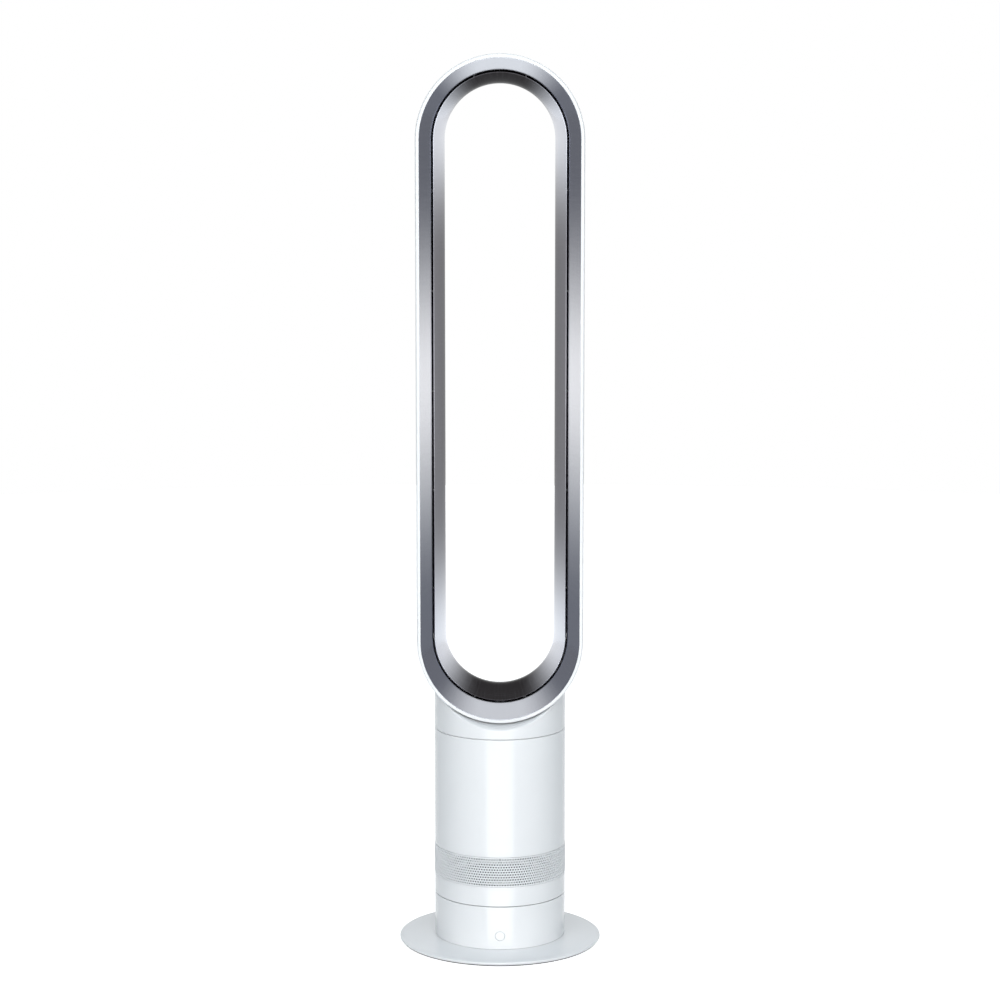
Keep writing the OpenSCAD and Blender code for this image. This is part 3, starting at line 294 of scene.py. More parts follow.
def pierced(radius, inner, low, high, holes, hole_round, foot, top_round, count=192):
    """A round wall with rounded ends and round holes through it, as one closed mesh.

    holes are (angle, height, radius), and foot is the lower end's outline: (height above low, depth).
    Round each hole lies a patch of the wall, some 1.8 times as large, whose faces run to the hole's edge."""
    step, reach, inner_round = 2 * math.pi / count, 1.8, 0.45
    tops = [(high - top_round - 0.15, 0), (high - top_round, 0)]
    tops += [(high - z, d) for z, d in reversed(quarter(top_round, top_round, (0, 22.5, 45, 67.5)))]
    levels = [(low + z, d) for z, d in foot]
    patches = []
    for angle, z, r in holes:
        half = math.ceil(r * reach / (radius * step))
        patches.append((round(angle / step), half, z - r * reach, z + r * reach, angle, z, r))
    middle = set()
    for _, _, z0, z1, *_ in patches:
        middle.update(between(z0, z1, 10))
    levels += [(z, 0) for z in sorted(middle)] + tops
    verts, faces, index = [], [], {}
    for skin, r in (("out", radius), ("in", inner)):
        for k, (z, d) in enumerate(levels):
            depth = d if skin == "out" else -min(d, inner_round)
            for i in range(count):
                index[skin, i, k] = len(verts)
                verts.append(on_ring(i * step, r - depth, z))

    def cut(i, k):
        for centre, half, z0, z1, *_ in patches:
            away = (i - centre + count // 2) % count - count // 2
            if -half <= away < half and levels[k][0] >= z0 - 1e-6 and levels[k + 1][0] <= z1 + 1e-6:
                return True
        return False

    for skin in ("out", "in"):
        for k in range(len(levels) - 1):
            for i in range(count):
                if not cut(i, k):
                    n = (i + 1) % count
                    faces.append((index[skin, i, k], index[skin, n, k], index[skin, n, k + 1], index[skin, i, k + 1]))
    for k in (0, len(levels) - 1):
        faces += bridged(*([index[skin, i, k] for i in range(count)] for skin in ("out", "in")))
    for centre, half, z0, z1, angle, z, r in patches:
        inside = [k for k, (level, _) in enumerate(levels) if z0 - 1e-6 <= level <= z1 + 1e-6]
        k0, k1 = inside[0], inside[-1]
        border = [(centre + i, k0) for i in range(-half, half)]
        border += [(centre + half, k) for k in range(k0, k1)]
        border += [(centre + i, k1) for i in range(half, -half, -1)]
        border += [(centre - half, k) for k in range(k1, k0, -1)]
        rims = []
        for skin, wall_r in (("out", radius), ("in", inner)):
            loops = [[index[skin, i % count, k] for i, k in border]]
            brink = r + hole_round if skin == "out" else r
            rings = [(share, 0, brink) for share in (0.5, 0.8, 0.93, 1)]
            if skin == "out":
                rings += [(1, drop, r + more) for drop, more in quarter(hole_round, hole_round, (30, 60, 90))]
            for share, drop, hole in rings:
                loop = []
                for i, k in border:
                    s, h = (i * step - angle) * radius, levels[k][0] - z
                    way = math.atan2(h, s)
                    s += (hole * math.cos(way) - s) * share
                    h += (hole * math.sin(way) - h) * share
                    loop.append(len(verts))
                    verts.append(on_ring(angle + s / radius, wall_r - drop, z + h))
                loops.append(loop)
            for a, b in zip(loops, loops[1:]):
                faces += bridged(a, b)
            rims.append(loops[-1])
        faces += bridged(*rims)
    return verts, faces


def loop_stations(arc=96, side=40):
    """Places along the loop: (angle, height of the centre, phase, way from the top).

    The phase steers the bands' painted reflections. It is 0 about half way up a side, 1 where an arc starts and 2 in
    its middle."""
    top, low, radius = ARC_TOP, ARC_LOW, BAND_RADIUS
    # The height up a side where the bands' painted reflections peak: lightest on the front band, darkest on the inner
    # band
    painted_glint = low + 0.53 * (top - low)

    def upright(z):
        return abs(z - painted_glint) / (top - painted_glint if z > painted_glint else painted_glint - low), radius * math.pi / 2 + top - z

    out = []
    for k in range(arc):
        a = math.pi * k / arc
        away = abs(a - math.pi / 2)
        out.append((a, top, 2 - away / (math.pi / 2), radius * away))
    out += [(math.pi, z, *upright(z)) for z in between(top, low, side)[:-1]]
    for k in range(arc):
        a = math.pi + math.pi * k / arc
        away = abs(a - 1.5 * math.pi)
        out.append((a, low, 2 - away / (math.pi / 2), radius * (math.pi - away) + top - low))
    out += [(2 * math.pi, z, *upright(z)) for z in between(low, top, side)[:-1]]
    return out


def swept(section):
    """A closed section of (ring radius, y), swept round the loop, with its place on the loop at each vertex."""
    across, total = [], 0
    for i, p in enumerate(section):
        if i:
            total += math.dist(p, section[i - 1])
        across.append(total)
    rows, marks = [], []
    for angle, centre, phase, way in loop_stations():
        rows.append([(r * math.cos(angle), y, centre + r * math.sin(angle)) for r, y in section])
        marks += [(a * MM, way * MM, phase) for a in across]
    verts, faces = rows_to_mesh(rows)
    return verts, faces, {"loop_place": marks}


# Finishes: node materials on the object's own coordinates

class Shader:
    """A material being built, with short calls for its nodes."""

    def __init__(self, name):
        self.material = bpy.data.materials.new(name)
        self.material.use_nodes = True
        self.tree = self.material.node_tree
        self.surface = self.tree.nodes["Principled BSDF"]

    def add(self, kind, **settings):
        node = self.tree.nodes.new(kind)
        for key, value in settings.items():
            setattr(node, key, value)
        return node

    def link(self, source, target):
        self.tree.links.new(source, target)

    def place(self, scale=(1, 1, 1), turn=(0, 0, 0)):
        where = self.add("ShaderNodeTexCoord")
        mapping = self.add("ShaderNodeMapping")
        mapping.inputs["Scale"].default_value = scale
        mapping.inputs["Rotation"].default_value = turn
        self.link(where.outputs["Object"], mapping.inputs["Vector"])
        return mapping.outputs["Vector"]

    def noise(self, vector, scale, detail=3, rough=0.5):
        node = self.add("ShaderNodeTexNoise")
        node.inputs["Scale"].default_value = scale
        node.inputs["Detail"].default_value = detail
        node.inputs["Roughness"].default_value = rough
        self.link(vector, node.inputs["Vector"])
        return node.outputs["Fac"]

    def spread(self, value, low, high, from_low=0.3, from_high=0.7):
        node = self.add("ShaderNodeMapRange")
        node.inputs["From Min"].default_value = from_low
        node.inputs["From Max"].default_value = from_high
        node.inputs["To Min"].default_value = low
        node.inputs["To Max"].default_value = high
        self.link(value, node.inputs["Value"])
        return node.outputs["Result"]

    def calc(self, operation, a, b=None):
        node = self.add("ShaderNodeMath", operation=operation)
        for socket, value in zip(node.inputs, (a, b)):
            if value is None:
                continue
            if isinstance(value, (int, float)):
                socket.default_value = value
            else:
                self.link(value, socket)
        return node.outputs["Value"]

    def mix(self, share, a, b):
        node = self.add("ShaderNodeMix", data_type="RGBA")
        for socket, value in zip((node.inputs[0], node.inputs[6], node.inputs[7]), (share, a, b)):
            if isinstance(value, bpy.types.NodeSocket):
                self.link(value, socket)
            elif isinstance(value, (int, float)):
                socket.default_value = value
            else:
                socket.default_value = (*value[:3], 1)
        return node.outputs[2]

    def bump(self, height, distance, strength=0.5):
        node = self.add("ShaderNodeBump")
        node.inputs["Distance"].default_value = distance
        node.inputs["Strength"].default_value = strength
        self.link(height, node.inputs["Height"])
        self.link(node.outputs["Normal"], self.surface.inputs["Normal"])


def toned(colour, share):
    """The colour, lighter or darker by a share."""
    return tuple(min(1, max(0, c * share)) for c in colour)


def plastic(name, colour, rough, grain, depth, drift):
    """Moulded plastic, rubber or paint: a slow drift of tone, uneven gloss and a fine grain."""
    s = Shader(name)
    where = s.place()
    slow = s.noise(where, 14, 2)
    fine = s.noise(where, grain, 2)
    share = s.spread(slow, 0, 1)
    s.link(s.mix(share, toned(colour, 1 - drift), toned(colour, 1 + drift)), s.surface.inputs["Base Color"])
    smear = s.noise(where, 45, 4, 0.6)
    s.link(s.spread(smear, rough[0], rough[1]), s.surface.inputs["Roughness"])
    s.surface.inputs["IOR"].default_value = 1.46
    s.bump(fine, depth * MM)
    return s.material


def metal(name, colour, rough=(0.22, 0.36), stretch=(600, 600, 30), depth=0.01, drift=0.06):
    """Turned or drawn metal with marks along one way and a dull drift of tone."""
    s = Shader(name)
    marks = s.noise(s.place(stretch), 1, 4, 0.65)
    slow = s.noise(s.place(), 40, 3)
    share = s.spread(s.calc("ADD", s.calc("MULTIPLY", marks, 0.5), s.calc("MULTIPLY", slow, 0.5)), 0, 1)
    s.link(s.mix(share, toned(colour, 1 - drift), toned(colour, 1 + drift)), s.surface.inputs["Base Color"])
    s.link(s.spread(marks, rough[0], rough[1]), s.surface.inputs["Roughness"])
    s.surface.inputs["Metallic"].default_value = 1.0
    s.bump(marks, depth * MM, 0.4)
    return s.material


def satin_band_with_painted_reflections(name, sides, arcs, side_wave, arc_wave, flip):
    """Satin silver with fine streaks and painted reflections. Its tone runs along the loop between (dark, light) of
    sides and of arcs: painted highlights where it is light, painted shade where it is dark.

    A wave is where the painted light starts and ends, from the joint of side and arc (0) to the middle (1), and its
    sharpness.
    flip turns the painted highlight and shade round along the way."""
    s = Shader(name)
    read = s.add("ShaderNodeAttribute", attribute_name="loop_place")
    parts = s.add("ShaderNodeSeparateXYZ")
    s.link(read.outputs["Vector"], parts.inputs[0])
    across, along, phase = parts.outputs
    share = s.calc("ABSOLUTE", s.calc("SUBTRACT", phase, 1.0))
    arc = s.calc("GREATER_THAN", phase, 1.0)
    waves = []
    for start, end, power in (side_wave, arc_wave):
        value = s.spread(share, 1 if flip else 0, 0 if flip else 1, start, end)
        value.node.interpolation_type = "SMOOTHSTEP"
        waves.append(s.calc("POWER", value, power))
    # How far the tone goes from its painted shade to its painted highlight at each place
    painted_sheen = s.calc("ADD", waves[0], s.calc("MULTIPLY", s.calc("SUBTRACT", waves[1], waves[0]), arc))

    def streaks(scale_across, scale_along, detail):
        joined = s.add("ShaderNodeCombineXYZ")
        s.link(s.calc("MULTIPLY", across, scale_across), joined.inputs[0])
        s.link(s.calc("MULTIPLY", along, scale_along), joined.inputs[1])
        return s.noise(joined.outputs[0], 1, detail, 0.6)

    marks = s.calc("ADD", s.calc("MULTIPLY", streaks(1500, 14, 4), 0.55), s.calc("MULTIPLY", streaks(30, 420, 4), 0.45))
    painted_sheen = s.calc("ADD", painted_sheen, s.spread(marks, -0.04, 0.04))
    painted_sheen.node.use_clamp = True
    # The base colour and the specular tint carry the painted reflections
    dark, light = (s.mix(arc, sides[i], arcs[i]) for i in (0, 1))
    s.link(s.mix(painted_sheen, dark, light), s.surface.inputs["Base Color"])
    s.link(s.mix(painted_sheen, (0.5, 0.5, 0.5), (1, 1, 1)), s.surface.inputs["Specular Tint"])
    s.link(s.spread(marks, 0.15, 0.24), s.surface.inputs["Roughness"])
    s.surface.inputs["Metallic"].default_value = 1.0
    s.bump(marks, 0.008 * MM, 0.4)
    return s.material


def foam_finish(name, colour):
    """Open-cell foam: round cells, darker in their middle as painted shade in the pores."""
    s = Shader(name)
    cells = s.add("ShaderNodeTexVoronoi")
    cells.inputs["Scale"].default_value = 420
    s.link(s.place(), cells.inputs["Vector"])
    # Painted shade: the cells darken towards their middle
    share = s.spread(cells.outputs["Distance"], 0, 1, 0.1, 0.6)
    s.link(s.mix(share, toned(colour, 0.35), toned(colour, 1.2)), s.surface.inputs["Base Color"])
    s.surface.inputs["Roughness"].default_value = 0.95
    s.bump(cells.outputs["Distance"], 0.6 * MM, 0.8)
    return s.material


def board_finish(name, colour):
    """Circuit board: lacquer over faint tracks."""
    s = Shader(name)
    tracks = s.add("ShaderNodeTexBrick")
    tracks.inputs["Scale"].default_value = 160
    tracks.inputs["Mortar Size"].default_value = 0.03
    s.link(s.place(), tracks.inputs["Vector"])
    s.link(s.mix(tracks.outputs["Fac"], colour, toned(colour, 1.9)), s.surface.inputs["Base Color"])
    s.link(s.spread(s.noise(s.place(), 60), 0.25, 0.4), s.surface.inputs["Roughness"])
    s.bump(tracks.outputs["Fac"], 0.03 * MM)
    return s.material


FINISHES = {}


def finish(slot):
    """The material of a slot, made once."""
    if slot not in FINISHES:
        look = bpy.context.scene.fan_finishes
        makers = {
            "white_shell": lambda: plastic("white moulded shell", look.white, (0.14, 0.19), 1600, 0.012, 0.008),
            "grille_skin": lambda: plastic("white perforated skin", look.grille, (0.32, 0.42), 1800, 0.01, 0.01),
            "steel": lambda: metal("turned steel", (0.56, 0.57, 0.58)),
            "black_rubber": lambda: plastic("black rubber", look.rubber, (0.7, 0.85), 700, 0.05, 0.12),
            "grey_plastic": lambda: plastic(
                "grey moulded plastic", (0.22, 0.225, 0.235), (0.45, 0.58), 900, 0.04, 0.05),
            "ivory_plastic": lambda: plastic("natural acetal", (0.80, 0.77, 0.68), (0.38, 0.5), 900, 0.03, 0.03),
            "board": lambda: board_finish("green circuit board", (0.04, 0.16, 0.09)),
            "foam": lambda: foam_finish("grey open foam", (0.20, 0.20, 0.21)),
            "alloy": lambda: metal("cast alloy", (0.66, 0.67, 0.68), (0.38, 0.5), (700, 700, 700), 0.04),
            "copper": lambda: metal("enamelled copper wire", (0.62, 0.30, 0.15), (0.25, 0.38), (60, 60, 2600), 0.09),
            "black_plastic": lambda: plastic("black plastic", (0.02, 0.02, 0.023), (0.5, 0.65), 900, 0.03, 0.1),
        }
        FINISHES[slot] = makers[slot]()
    return FINISHES[slot]


# The pieces

class PieceOperator:
    """What each piece's operator shares."""

    bl_options = {"REGISTER", "UNDO"}

    def execute(self, context):
        self.build(context.scene.fan_sizes, context.scene.fan_finishes)
        return {"FINISHED"}


class FAN_OT_base_plate(PieceOperator, bpy.types.Operator):
    """Make the base plate, with its softly rounded edge and the recess of its weight, and the foot ring"""

    bl_idname = "fan.base_plate"
    bl_label = "Base plate and foot"

    def build(self, sizes, look):
        r, low, top = sizes.plate_radius / MM, PLATE_LOW.z / MM, PLATE_HIGH.z / MM
        edge, body = sizes.plate_edge / MM, sizes.body_radius / MM
        rib, weight, recess = 20, 91.65, 4.64
        outline = rounded([
            (BASE_BORE, low, 0.4), (rib, low, 0.4), (rib, recess), (weight, recess), (weight, low, 0.4),
            (r - 1.7, low, 0.4), (r, low + 1.7, 0.6), (r, low + edge - 0.2, 1.6),
            (r - 4.4, low + edge + 0.45, 9), (body + 1.5, top, 14), (BASE_BORE, top, 0.4),
        ], 6)
        verts, faces = turned(outline, 256)
        piece("base_disc", verts, faces, "base", "white_shell", ["base_plate"])
        outer, inner, high, grooves = r - 2.1, FOOT_HIGH.x / MM - 12, FOOT_HIGH.z / MM, 4
        ribs = [(outer, high), (outer, 0.5, 0.3), (outer - 0.5, 0, 0.4)]
        for c in between(outer, inner, grooves + 1)[1:-1]:
            ribs += [(c + 0.7, 0), (c + 0.4, 0.4, 0.1), (c - 0.4, 0.4, 0.1), (c - 0.7, 0)]
        ribs += [(inner + 0.5, 0, 0.4), (inner, 0.5, 0.3), (inner, high)]
        verts, faces = turned(rounded(ribs, 3), 192)
        piece("foot_pad", verts, faces, "base", "black_rubber", ["foot_ring"])


class FAN_OT_base_housing(PieceOperator, bpy.types.Operator):
    """Make the fixed housing, with the openings of the button and the cord gland"""

    bl_idname = "fan.base_housing"
    bl_label = "Base housing"

    def build(self, sizes, look):
        r, wall, low, high = sizes.body_radius / MM, sizes.body_wall / MM, HOUSING_LOW.z / MM, HOUSING_HIGH.z / MM
        gap, gap_depth, soft = 0.4, 1.1, 0.5
        foot = [(0, gap_depth), (gap, gap_depth)]
        foot += [(gap + z, depth) for z, depth in quarter(soft, soft, range(0, 91, 15))]
        holes = [(0, BUTTON_Z, 5.55), (math.pi, GLAND_Z, 6.65)]
        shell = pierced(r, r - wall, low, high, holes, 0.35, foot, sizes.seam_round / MM)
        floor = turned(rounded([
            (BASE_BORE, low, 0.4), (r - wall, low),
            (r - wall, low + SHELL_FLOOR), (BASE_BORE, low + SHELL_FLOOR, 0.4),
        ], 3))
        verts, faces = add_mesh(shell, floor)
        piece("housing_shell", verts, faces, "base", "white_shell", ["base_housing"])


class FAN_OT_power_button(PieceOperator, bpy.types.Operator):
    """Make the flush round power button and its return spring"""

    bl_idname = "fan.power_button"
    bl_label = "Power button"

    def build(self, sizes, look):
        face, back = BUTTON_LOW.y / MM, BUTTON_HIGH.y / MM
        r, rise, wide, thick, stem, housing_inside = 5.3, 0.12, 6.8, 1.6, 1.6, 72.3
        crown, flange = 0.94 * r, 0.3 - math.sqrt(housing_inside ** 2 - wide ** 2)
        dome = ellipse((0, face + rise), (crown, -rise), 90, 15, 5)
        rest = rounded([
            (crown, face + rise), (r, face + 0.3, 0.35), (r, flange, 0.1), (wide, flange, 0.2),
            (wide, flange + thick, 0.2), (stem, flange + thick, 0.2), (stem, back, 0.3), (0, back),
        ], 4, closed=False)
        verts, faces = turned_y(dome + rest, 0, BUTTON_Z, 64)
        piece("button_cap", verts, faces, "button", "white_shell", ["power_button"])
        wire, turns, travel = 0.35, 5, 1
        ring, length = (SPRING_HIGH.x - SPRING_LOW.x) / 2 / MM - wire, (SPRING_HIGH.y - SPRING_LOW.y) / MM
        verts, faces = coil(BUTTON_Z, ring, wire, SPRING_LOW.y / MM + wire, SPRING_HIGH.y / MM - wire, turns)
        spring = piece("button_coil", verts, faces, "base", "steel", ["button_spring"])
        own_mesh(spring)


class FAN_OT_cord_gland(PieceOperator, bpy.types.Operator):
    """Make the round gland for the cord, with its grip ring"""

    bl_idname = "fan.cord_gland"
    bl_label = "Cord gland"

    def build(self, sizes, look):
        front, back = GLAND_LOW.y / MM, GLAND_HIGH.y / MM
        bore, sleeve, grip, flange = 4.2, 6.5, 9, 2
        outline = rounded([
            (bore, front, 0.3), (sleeve, front, 0.4), (sleeve, back - flange, 0.1), (grip, back - flange, 0.2),
            (grip, back - 0.7, 0.6), (7.2, back, 0.7), (6.2, back - 0.5, 0.4), (5.4, back, 0.4), (bore, back, 0.45),
        ], 4)
        verts, faces = turned_y(outline, 0, GLAND_Z, 72)
        piece("gland_ring", verts, faces, "base", "white_shell", ["cord_gland"])


class FAN_OT_lower_collar(PieceOperator, bpy.types.Operator):
    """Make the plain ring above the swivel seam"""

    bl_idname = "fan.lower_collar"
    bl_label = "Lower collar"

    def build(self, sizes, look):
        r, wall, soft = sizes.body_radius / MM, sizes.body_wall / MM, sizes.seam_round / MM
        low, high = COLLAR_LOW.z / MM, COLLAR_HIGH.z / MM
        outline = rounded([
            (TOWER_BORE, low, 0.4), (r, low, soft), (r, high, 0.3), (r - wall, high, 0.3),
            (r - wall, low + SHELL_FLOOR, 0.8), (TOWER_BORE, low + SHELL_FLOOR, 0.4),
        ])
        verts, faces = turned(outline)
        piece("collar_ring", verts, faces, "tower", "white_shell", ["lower_collar"])


class FAN_OT_inlet_grille(PieceOperator, bpy.types.Operator):
    """Make the perforated intake skin, with its rows of fine staggered holes"""

    bl_idname = "fan.inlet_grille"
    bl_label = "Intake skin"

    def build(self, sizes, look):
        outer, thick, plain_edge = GRILLE_HIGH.x / MM, 1.1, 0.4
        low, high = GRILLE_LOW.z / MM, GRILLE_HIGH.z / MM
        around = round(2 * math.pi * outer * MM / (sizes.hole_pitch * 1.02))
        rows = int((high - low - 2 * plain_edge) * MM / sizes.hole_pitch)
        rise, wide = sizes.hole_pitch / MM, 2 * math.pi / around
        first = (low + high) / 2 - rows * rise / 2
        hole = sizes.hole_radius / MM
        verts, faces, index = [], [], {}

        def vertex(key, a, z, r):
            if key not in index:
                index[key] = len(verts)
                verts.append(on_ring(a, r, z))
            return index[key]

        # A tile's border in eighths of a tile: right side, top, left side, bottom
        border = [
            (4, 0), (4, 4), (2, 4), (0, 4), (-2, 4), (-4, 4),
            (-4, 0), (-4, -4), (-2, -4), (0, -4), (2, -4), (4, -4),
        ]
        total = around * 8
        for row in range(rows):
            for i in range(around):
                centre = i * 8 + (row % 2) * 4
                skins = []
                for skin, r in (("out", outer), ("in", outer - thick)):
                    outside, ring = [], []
                    for e, (dx, dz) in enumerate(border):
                        col = (centre + dx) % total
                        level = row * 8 + 4 + dz
                        outside.append(vertex((skin, col, level), col / 8 * wide, first + level / 8 * rise, r))
                        way = math.atan2(dz, dx)
                        a = centre / 8 * wide + hole * math.cos(way) / outer
                        z = first + (row + 0.5) * rise + hole * math.sin(way)
                        ring.append(vertex((skin, "hole", row, i, e), a, z, r))
                    skins.append(ring)
                    faces += bridged(outside, ring)
                faces += bridged(*skins)
        # The plain edges above and below the holes
        for level, end, sign in ((0, low, 1), (rows * 8, high, -1)):
            chain = range(0, total, 2)
            rings = [[index["out", c, level] for c in chain]]
            rim = [(outer, end + sign * 0.3), (outer - 0.12, end + sign * 0.08), (outer - 0.3, end)]
            for r, z in rim + [(outer - thick, end)]:
                rings.append([vertex(("edge", level, c, r, z), c / 8 * wide, z, r) for c in chain])
            rings.append([index["in", c, level] for c in chain])
            for a, b in zip(rings, rings[1:]):
                faces += bridged(a, b)
        piece("intake_skin", verts, faces, "tower", "grille_skin", ["inlet_grille"])


class FAN_OT_body_shell(PieceOperator, bpy.types.Operator):
    """Make the tall body shell, with the ledge that carries the fan unit"""

    bl_idname = "fan.body_shell"
    bl_label = "Body shell"

    def build(self, sizes, look):
        r, wall, soft = sizes.body_radius / MM, sizes.body_wall / MM, sizes.seam_round / MM
        low, high = BODY_LOW.z / MM, BODY_HIGH.z / MM
        ledge, thick, ledge_bore = low + 7.4, 3, 64
        outline = rounded([
            (r - wall, low, 0.3), (r, low, 0.3), (r, high, soft), (r - wall, high, 0.3),
            (r - wall, ledge + thick, 0.5), (ledge_bore, ledge + thick, 0.4),
            (ledge_bore, ledge, 0.4), (r - wall, ledge, 0.5),
        ])
        verts, faces = turned(outline)
        piece("body_tube", verts, faces, "tower", "white_shell", ["body_shell"])


class FAN_OT_neck_collar(PieceOperator, bpy.types.Operator):
    """Make the neck collar, whose top follows the underside of the loop"""

    bl_idname = "fan.neck_collar"
    bl_label = "Neck collar"

    def build(self, sizes, look):
        r, wall, soft = sizes.body_radius / MM, sizes.body_wall / MM, sizes.seam_round / MM
        seam, seat = 0.75, 0.15
        low, foot, saddle = BODY_HIGH.z / MM + seam, NECK_LOW.z / MM, sizes.loop_radius / MM + seat
        rows, count, duct, back = [], 192, 40, LOOP_HIGH.y / MM
        half = (sizes.loop_radius - sizes.throat_radius) / 2 / MM
        spigot = (r - wall - 0.15, r - wall - 0.65, r - wall - 2.45)
        for i in range(count):
            a = 2 * math.pi * i / count

            def dip(radius, rise=0):
                """Height of the seat under the loop."""
                return ARC_LOW - math.sqrt((saddle - rise) ** 2 - (radius * math.sin(a)) ** 2)

            def seal(radius, share):
                """How far the seat rises to meet the loop's rounded back."""
                way = min(1, max(0, (-radius * math.cos(a) - THROAT_Y) / (back - THROAT_Y)))
                return half * (1 - math.sqrt(1 - way ** 2)) * share

            # The top edge's rounding is widest in front and behind
            deep, tall = 1 + 9 * math.cos(a) ** 2, 0.9 + 2.6 * math.cos(a) ** 2
            # From the duct out over the seat and the top edge, down the side, in at the seam and round the spigot
            seat_radii = between(duct, r - deep - 1, 8)
            row = [(radius, dip(radius, seal(radius, max(0, 1 - k / 4)))) for k, radius in enumerate(seat_radii)]
            for drop, inset in quarter(tall, deep, range(0, 91, 10)):
                row.append((r - inset, dip(r - inset) - drop))
            row += [(r, dip(r) - tall - 0.2), (r, low + soft + 0.15), (r, low + soft)]
            row += [(r - 0.1 * soft, low + 0.55 * soft), (r - 0.45 * soft, low + 0.12 * soft), (r - soft, low)]
            row += [(spigot[0], low), (spigot[0], foot + 0.5), (spigot[1], foot), (spigot[2], foot)]
            row += [(radius, low + SHELL_FLOOR) for radius in (spigot[2], duct + 2, duct)]
            rows.append([on_ring(a, radius, z) for radius, z in row])
        verts, faces = rows_to_mesh(rows)
        piece("neck_ring", verts, faces, "tower", "white_shell", ["neck_collar"])


class FAN_OT_loop_outer_shell(PieceOperator, bpy.types.Operator):
    """Make the loop's outer shell, from its narrow front rim over the side to the rounded back"""

    bl_idname = "fan.loop_outer_shell"
    bl_label = "Loop, outer shell"

    def build(self, sizes, look):
        r, wall, front, back = sizes.loop_radius / MM, sizes.loop_wall / MM, LOOP_LOW.y / MM, LOOP_HIGH.y / MM
        rim, throat = r - RIM_INSET, sizes.throat_radius / MM
        lip, middle, half = rim - sizes.rim_width / MM, (r + throat) / 2, (r - throat) / 2
        section = [(rim - 0.02, front, 1.5)]
        for y in between(front, SWELL_Y, 12)[1:]:
            section.append((r - RIM_INSET * ((SWELL_Y - y) / (SWELL_Y - front)) ** 2, y))
        section += [(r, THROAT_Y)] + ellipse((middle, THROAT_Y), (half, back - THROAT_Y), 0, 90, 28)[1:]
        section += ellipse((middle, THROAT_Y), (half - wall, back - THROAT_Y - wall), 90, 0, 14)
        section += [(r - wall, SWELL_Y), (rim - wall, front + wall, 0.3), (lip, front + wall, 0.2), (lip, front, 0.25)]
        verts, faces, _ = swept(rounded(section, 5))
        paint = plastic("white loop shell", look.white, (0.42, 0.5), 1600, 0.012, 0.008)
        piece("loop_shell", verts, faces, "tower", "white_shell", ["loop_outer_shell"], paint)


class FAN_OT_loop_front_band(PieceOperator, bpy.types.Operator):
    """Make the wide satin band in front of the air slot"""

    bl_idname = "fan.loop_front_band"
    bl_label = "Loop, front band"

    def build(self, sizes, look):
        r, front = sizes.loop_radius / MM, LOOP_LOW.y / MM
        lip = r - RIM_INSET - sizes.rim_width / MM - 0.08
        end, stop_y, thick, curl = sizes.slot_radius / MM + 0.8 + sizes.slot_gap / MM, BAND_END_Y, 1.8, 6
        front_y, step_y = front + 0.1, front + 2.2
        section = [(lip, front_y, 0.15)]
        section += list(zip(between(lip, end, 10), between(front_y, SLOT_Y, 10)))[1:-1]
        section += [
            (end, SLOT_Y, 3), (end, stop_y - curl, 3), (end + 0.3 * curl, stop_y - 0.3 * curl, 1),
            (end + curl, stop_y, 0.3), (end + curl, stop_y - thick, 0.3), (end + thick + 0.3 * curl, stop_y - curl, 2),
            (end + thick, SLOT_Y, 3), (lip + thick, front_y + 4, 0.3), (lip + thick, step_y, 0.2), (lip, step_y, 0.2),
        ]
        verts, faces, marks = swept(rounded(section, 5))
        # Painted reflections: the band's tone runs from painted shade to painted highlight along its sides and arcs
        sides, arcs = (look.front_painted_shade, look.front_side_painted_highlight), (look.front_painted_shade, look.front_arc_painted_highlight)
        paint = satin_band_with_painted_reflections("satin silver front band", sides, arcs, (0, 1, 1.6), (0.37, 0.85, 1), False)
        nodes = ["front_band_top", "front_band_sides", "front_band_bottom"]
        piece("front_band", verts, faces, "tower", "satin_silver", nodes, paint, marks)


def skin_radius(sizes, y):
    """Ring radius of the inner band's visible side."""
    throat, slot = sizes.throat_radius / MM, sizes.slot_radius / MM
    return throat + (slot - throat) * max(0, (THROAT_Y - y) / (THROAT_Y - SLOT_Y)) ** 1.5


